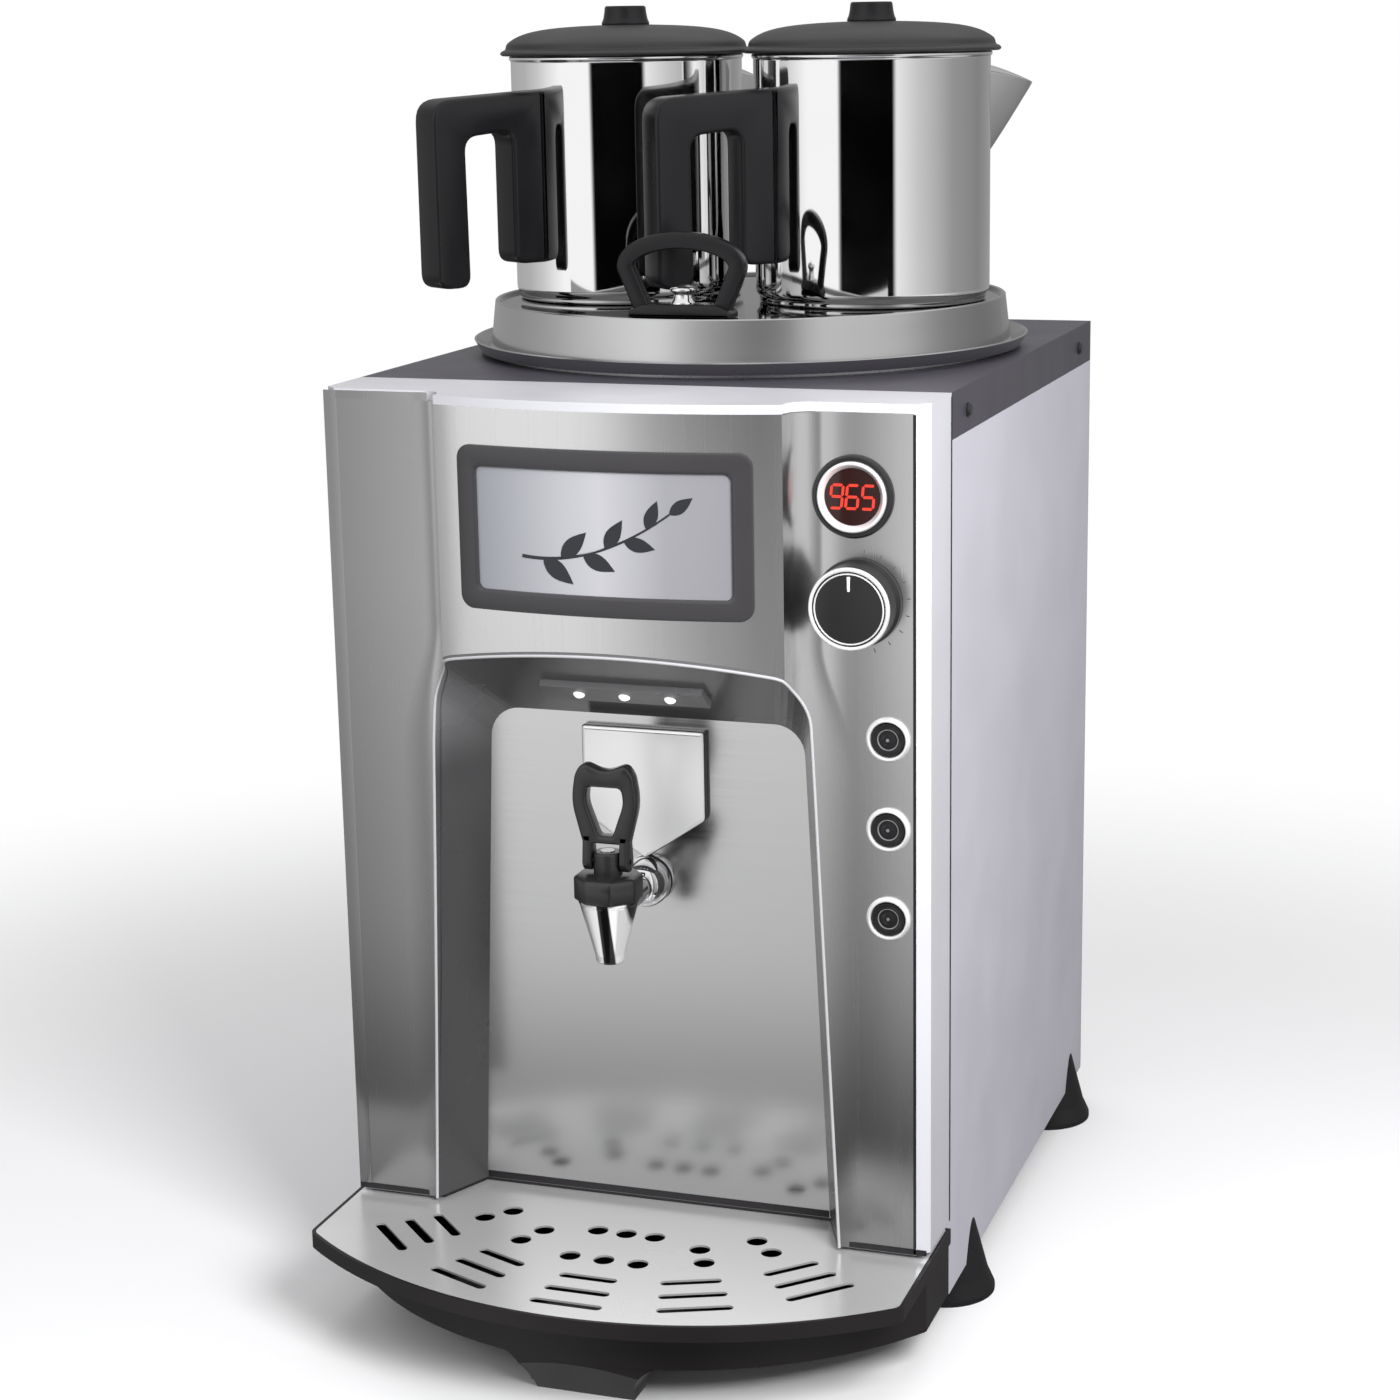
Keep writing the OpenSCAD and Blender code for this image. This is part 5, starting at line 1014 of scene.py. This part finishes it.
addPiece("sign_sheet", [signPane(sign)], "signPane", ["sign_panel"])
addPiece("sign_sprig", signSprig(sprig), "signPrint")
addPiece("sign_border", [signBorder(sign)], "signPlastic", ["sign_frame"], sharp=40)
print("sign built")


# Recess rim, coves, and the seams and edges of the front cover, with painted shadow at its foot and painted
# shade on its left edges

recess = {"foot": 107.46, "top": 95, "low": 68, "high": 361, "corner": 18, "wall": -204, "run": 74,
          "widen": 0.3035, "raise": 0.1835, "rim": 0.9, "rimProud": 0.2, "lip": 0.5, "lipBack": 1.5}
cove = {"edge": 100, "step": 17, "wide": 45, "tight": 17, "plain": 14, "from": 340, "to": 416, "low": 68.4,
        "top": 542.5, "proud": 0.03, "past": 0.5, "sheet": 0.6}


def coveRadius(z):
    # wide beside the recess, tight beside the instruments, with a smooth step between
    t = np.clip((z - cove["from"]) / (cove["to"] - cove["from"]), 0, 1)
    return cove["wide"] + (cove["tight"] - cove["wide"]) * t * t * (3 - 2 * t)


def coveEnd(radius):
    # where an arc of this radius that starts on the bulge's edge runs out into the column
    return cove["edge"] + np.sqrt(radius ** 2 - (radius - cove["step"]) ** 2)


def frontY(x, z, plain=False):
    # the front's plan: a bulge, a cove beside it and a flat column; plain has the CAD cover's own cove
    x = np.abs(x)
    bulge = sign["bulgeY"] - np.sqrt(np.maximum(sign["bulgeR"] ** 2 - x ** 2, 0))
    r = cove["plain"] if plain else coveRadius(z)
    end = cove["edge"] + cove["plain"] if plain else coveEnd(r)
    hollow = columnY - r + np.sqrt(np.maximum(r ** 2 - np.clip(end - x, 0, None) ** 2, 0))
    return np.where(x < cove["edge"], bulge, np.where(x < end, hollow, columnY))


def recessMouth(v, plain=False):
    # the back wall's outline carried forward until it meets the front, halving the step each time
    r = v["corner"]
    arc = arcPoints(r, 0, pi / 2, 12) + [v["top"] - r, v["high"] - r]
    back = evenly(mirroredLine(np.concatenate([[[v["foot"], v["low"]]], arc])), 320)
    near, far = np.zeros(len(back)), np.ones(len(back))
    for _ in range(40):
        f = (near + far) / 2
        x, z = back[:, 0] * (1 + v["widen"] * f), v["low"] + (back[:, 1] - v["low"]) * (1 + v["raise"] * f)
        inside = v["wall"] - v["run"] * f > frontY(x, z, plain)
        near, far = np.where(inside, f, near), np.where(inside, far, f)
    return np.column_stack([x, frontY(x, z, plain), z])


def recessRim(v):
    # a round bead along the mouth
    path = evenly(recessMouth(v) - [0, v["rimProud"], 0], 240)
    return swept(path, arcPoints(v["rim"], 0, 2 * pi, 12, True))


def mouthLip(v):
    # a band that carries the liner on from the plain front to the coves
    return openSheet(np.stack([recessMouth(v, True) + [0, v["lipBack"], 0], recessMouth(v)]))


def coveStrip(v, hand):
    # from the recess's mouth, or the bulge's edge above it, to the end of the arc, as a thin sheet
    z = np.linspace(v["low"], v["top"], 120)
    mouth = recessMouth(recess)
    half = mouth[mouth[:, 0] > 60]  # its right half, without the middle of the arch
    order = np.argsort(half[:, 2])
    start = np.interp(z, half[order, 2], half[order, 0])
    start = np.where(z > half[:, 2].max(), v["edge"], np.maximum(start, v["edge"]))
    end = coveEnd(coveRadius(z)) + v["past"]
    x = start[:, None] + (end - start)[:, None] * np.linspace(0, 1, 30)[None, :]
    high = np.repeat(z[:, None], 30, 1)
    front = np.stack([hand * x, frontY(x, high) - v["proud"], high], -1)
    return lofted(np.concatenate([front, front[:, ::-1] + [0, v["sheet"], 0]], 1))


addPiece("recess_edge", [recessRim(recess)], "rimPale", sharp=60)
giveWall(addPiece("recess_lip", [mouthLip(recess)], "linerPlastic", sharp=60), recess["lip"])
addPiece("cove_strips", [coveStrip(cove, hand) for _, hand in sides], "skinSteel", sharp=40)

# dark seams, and dark strips at the foot of the columns and the back wall that are painted shadow
# Upright strips: the middle in x and y, half the size in x and y, and the height from and to
seams = {"cover": (175, -190, 0.4, 0.8, 69, 546), "columnFootShadow": (149, columnY - 0.1, 25.4, 0.3, 68.5, 71.7),
         "skin": (167.6, columnY, 0.8, 0.4, 69, 542.5),
         "panelFootShadow": (0, recess["wall"] - 0.1, 107, 0.3, 68.3, 72.3)}
# painted shade: on the left only, the skin steel runs out over the cover's own pale edges, so that side shows
# dark as if in shadow
skinOverShadedEdges = {"side": (-170.9, columnY, 3.8, 0.25, 68.6, 547),
             "top": (-134.2, columnY, 32.9, 0.25, 542.4, 547)}


def upright(x, y, halfX, halfY, low, high):
    # a strip with rounded corners that stands from low to high
    box = np.array([[-halfX, -halfY], [halfX, -halfY], [halfX, halfY], [-halfX, halfY]]) + [x, y]
    return thickened(softened(box, 0.15, 3, closed=True), [(0, low), (0, high)])


strips = [upright(hand * x, *rest) for _, hand in sides for x, *rest in (seams["cover"], seams["columnFootShadow"])]
strips += [upright(*seams["skin"]), upright(*seams["panelFootShadow"])]
addPiece("skin_edge", [upright(*row) for row in skinOverShadedEdges.values()], "skinSteel", sharp=30)
# the seams and the painted foot shadows make one dark piece
addPiece("cover_seams_and_shadows", strips, "seamAndShadowDark", sharp=30)
print("rim, coves and seams built")


# CAD nodes that keep their shape

kept = {
    "sidePaint": ["side_panel_left", "side_panel_right"], "rearPaint": ["rear_panel"],
    "topPaint": ["top_cover"], "basePaint": ["base_pan"], "footPlastic": ["feet"], "boltZinc": ["foot_bolts"],
    "screwBlack": ["rear_screws", "cover_screws"], "coverPlastic": ["front_cover"],
    "skinSteel": ["front_skin"], "plinthPlastic": ["front_plinth", "cord_gland"],
    "panelSteel": ["front_panel"], "linerPlastic": ["recess_liner"], "lightPlastic": ["light_bar"],
    "glowWhite": ["light_leds"], "lampWhite": ["sign_lamp"], "switchPlastic": ["thermostat", "switch_bodies"],
    "pinSteel": ["lever_pin", "tap_stem"], "silicone": ["seat_cup", "tank_seal"],
    "gasketRubber": ["tap_gasket"], "nutBrass": ["tap_nut", "heater_flange"], "tankSteel": ["boiler_tank"],
    "heaterSteel": ["heating_element", "temperature_probe"], "trayPlastic": ["drip_tray"],
    "plateSteel": ["drip_plate"], "dishSteel": ["steam_dish"],
}


def dressNode(node, material):
    piece = nodes[node]
    piece.data.materials.clear()
    piece.data.materials.append(material)


for label, members in kept.items():
    for node in members:
        dressNode(node, finish[label])
print("nodes dressed:", sum(len(members) for members in kept.values()))
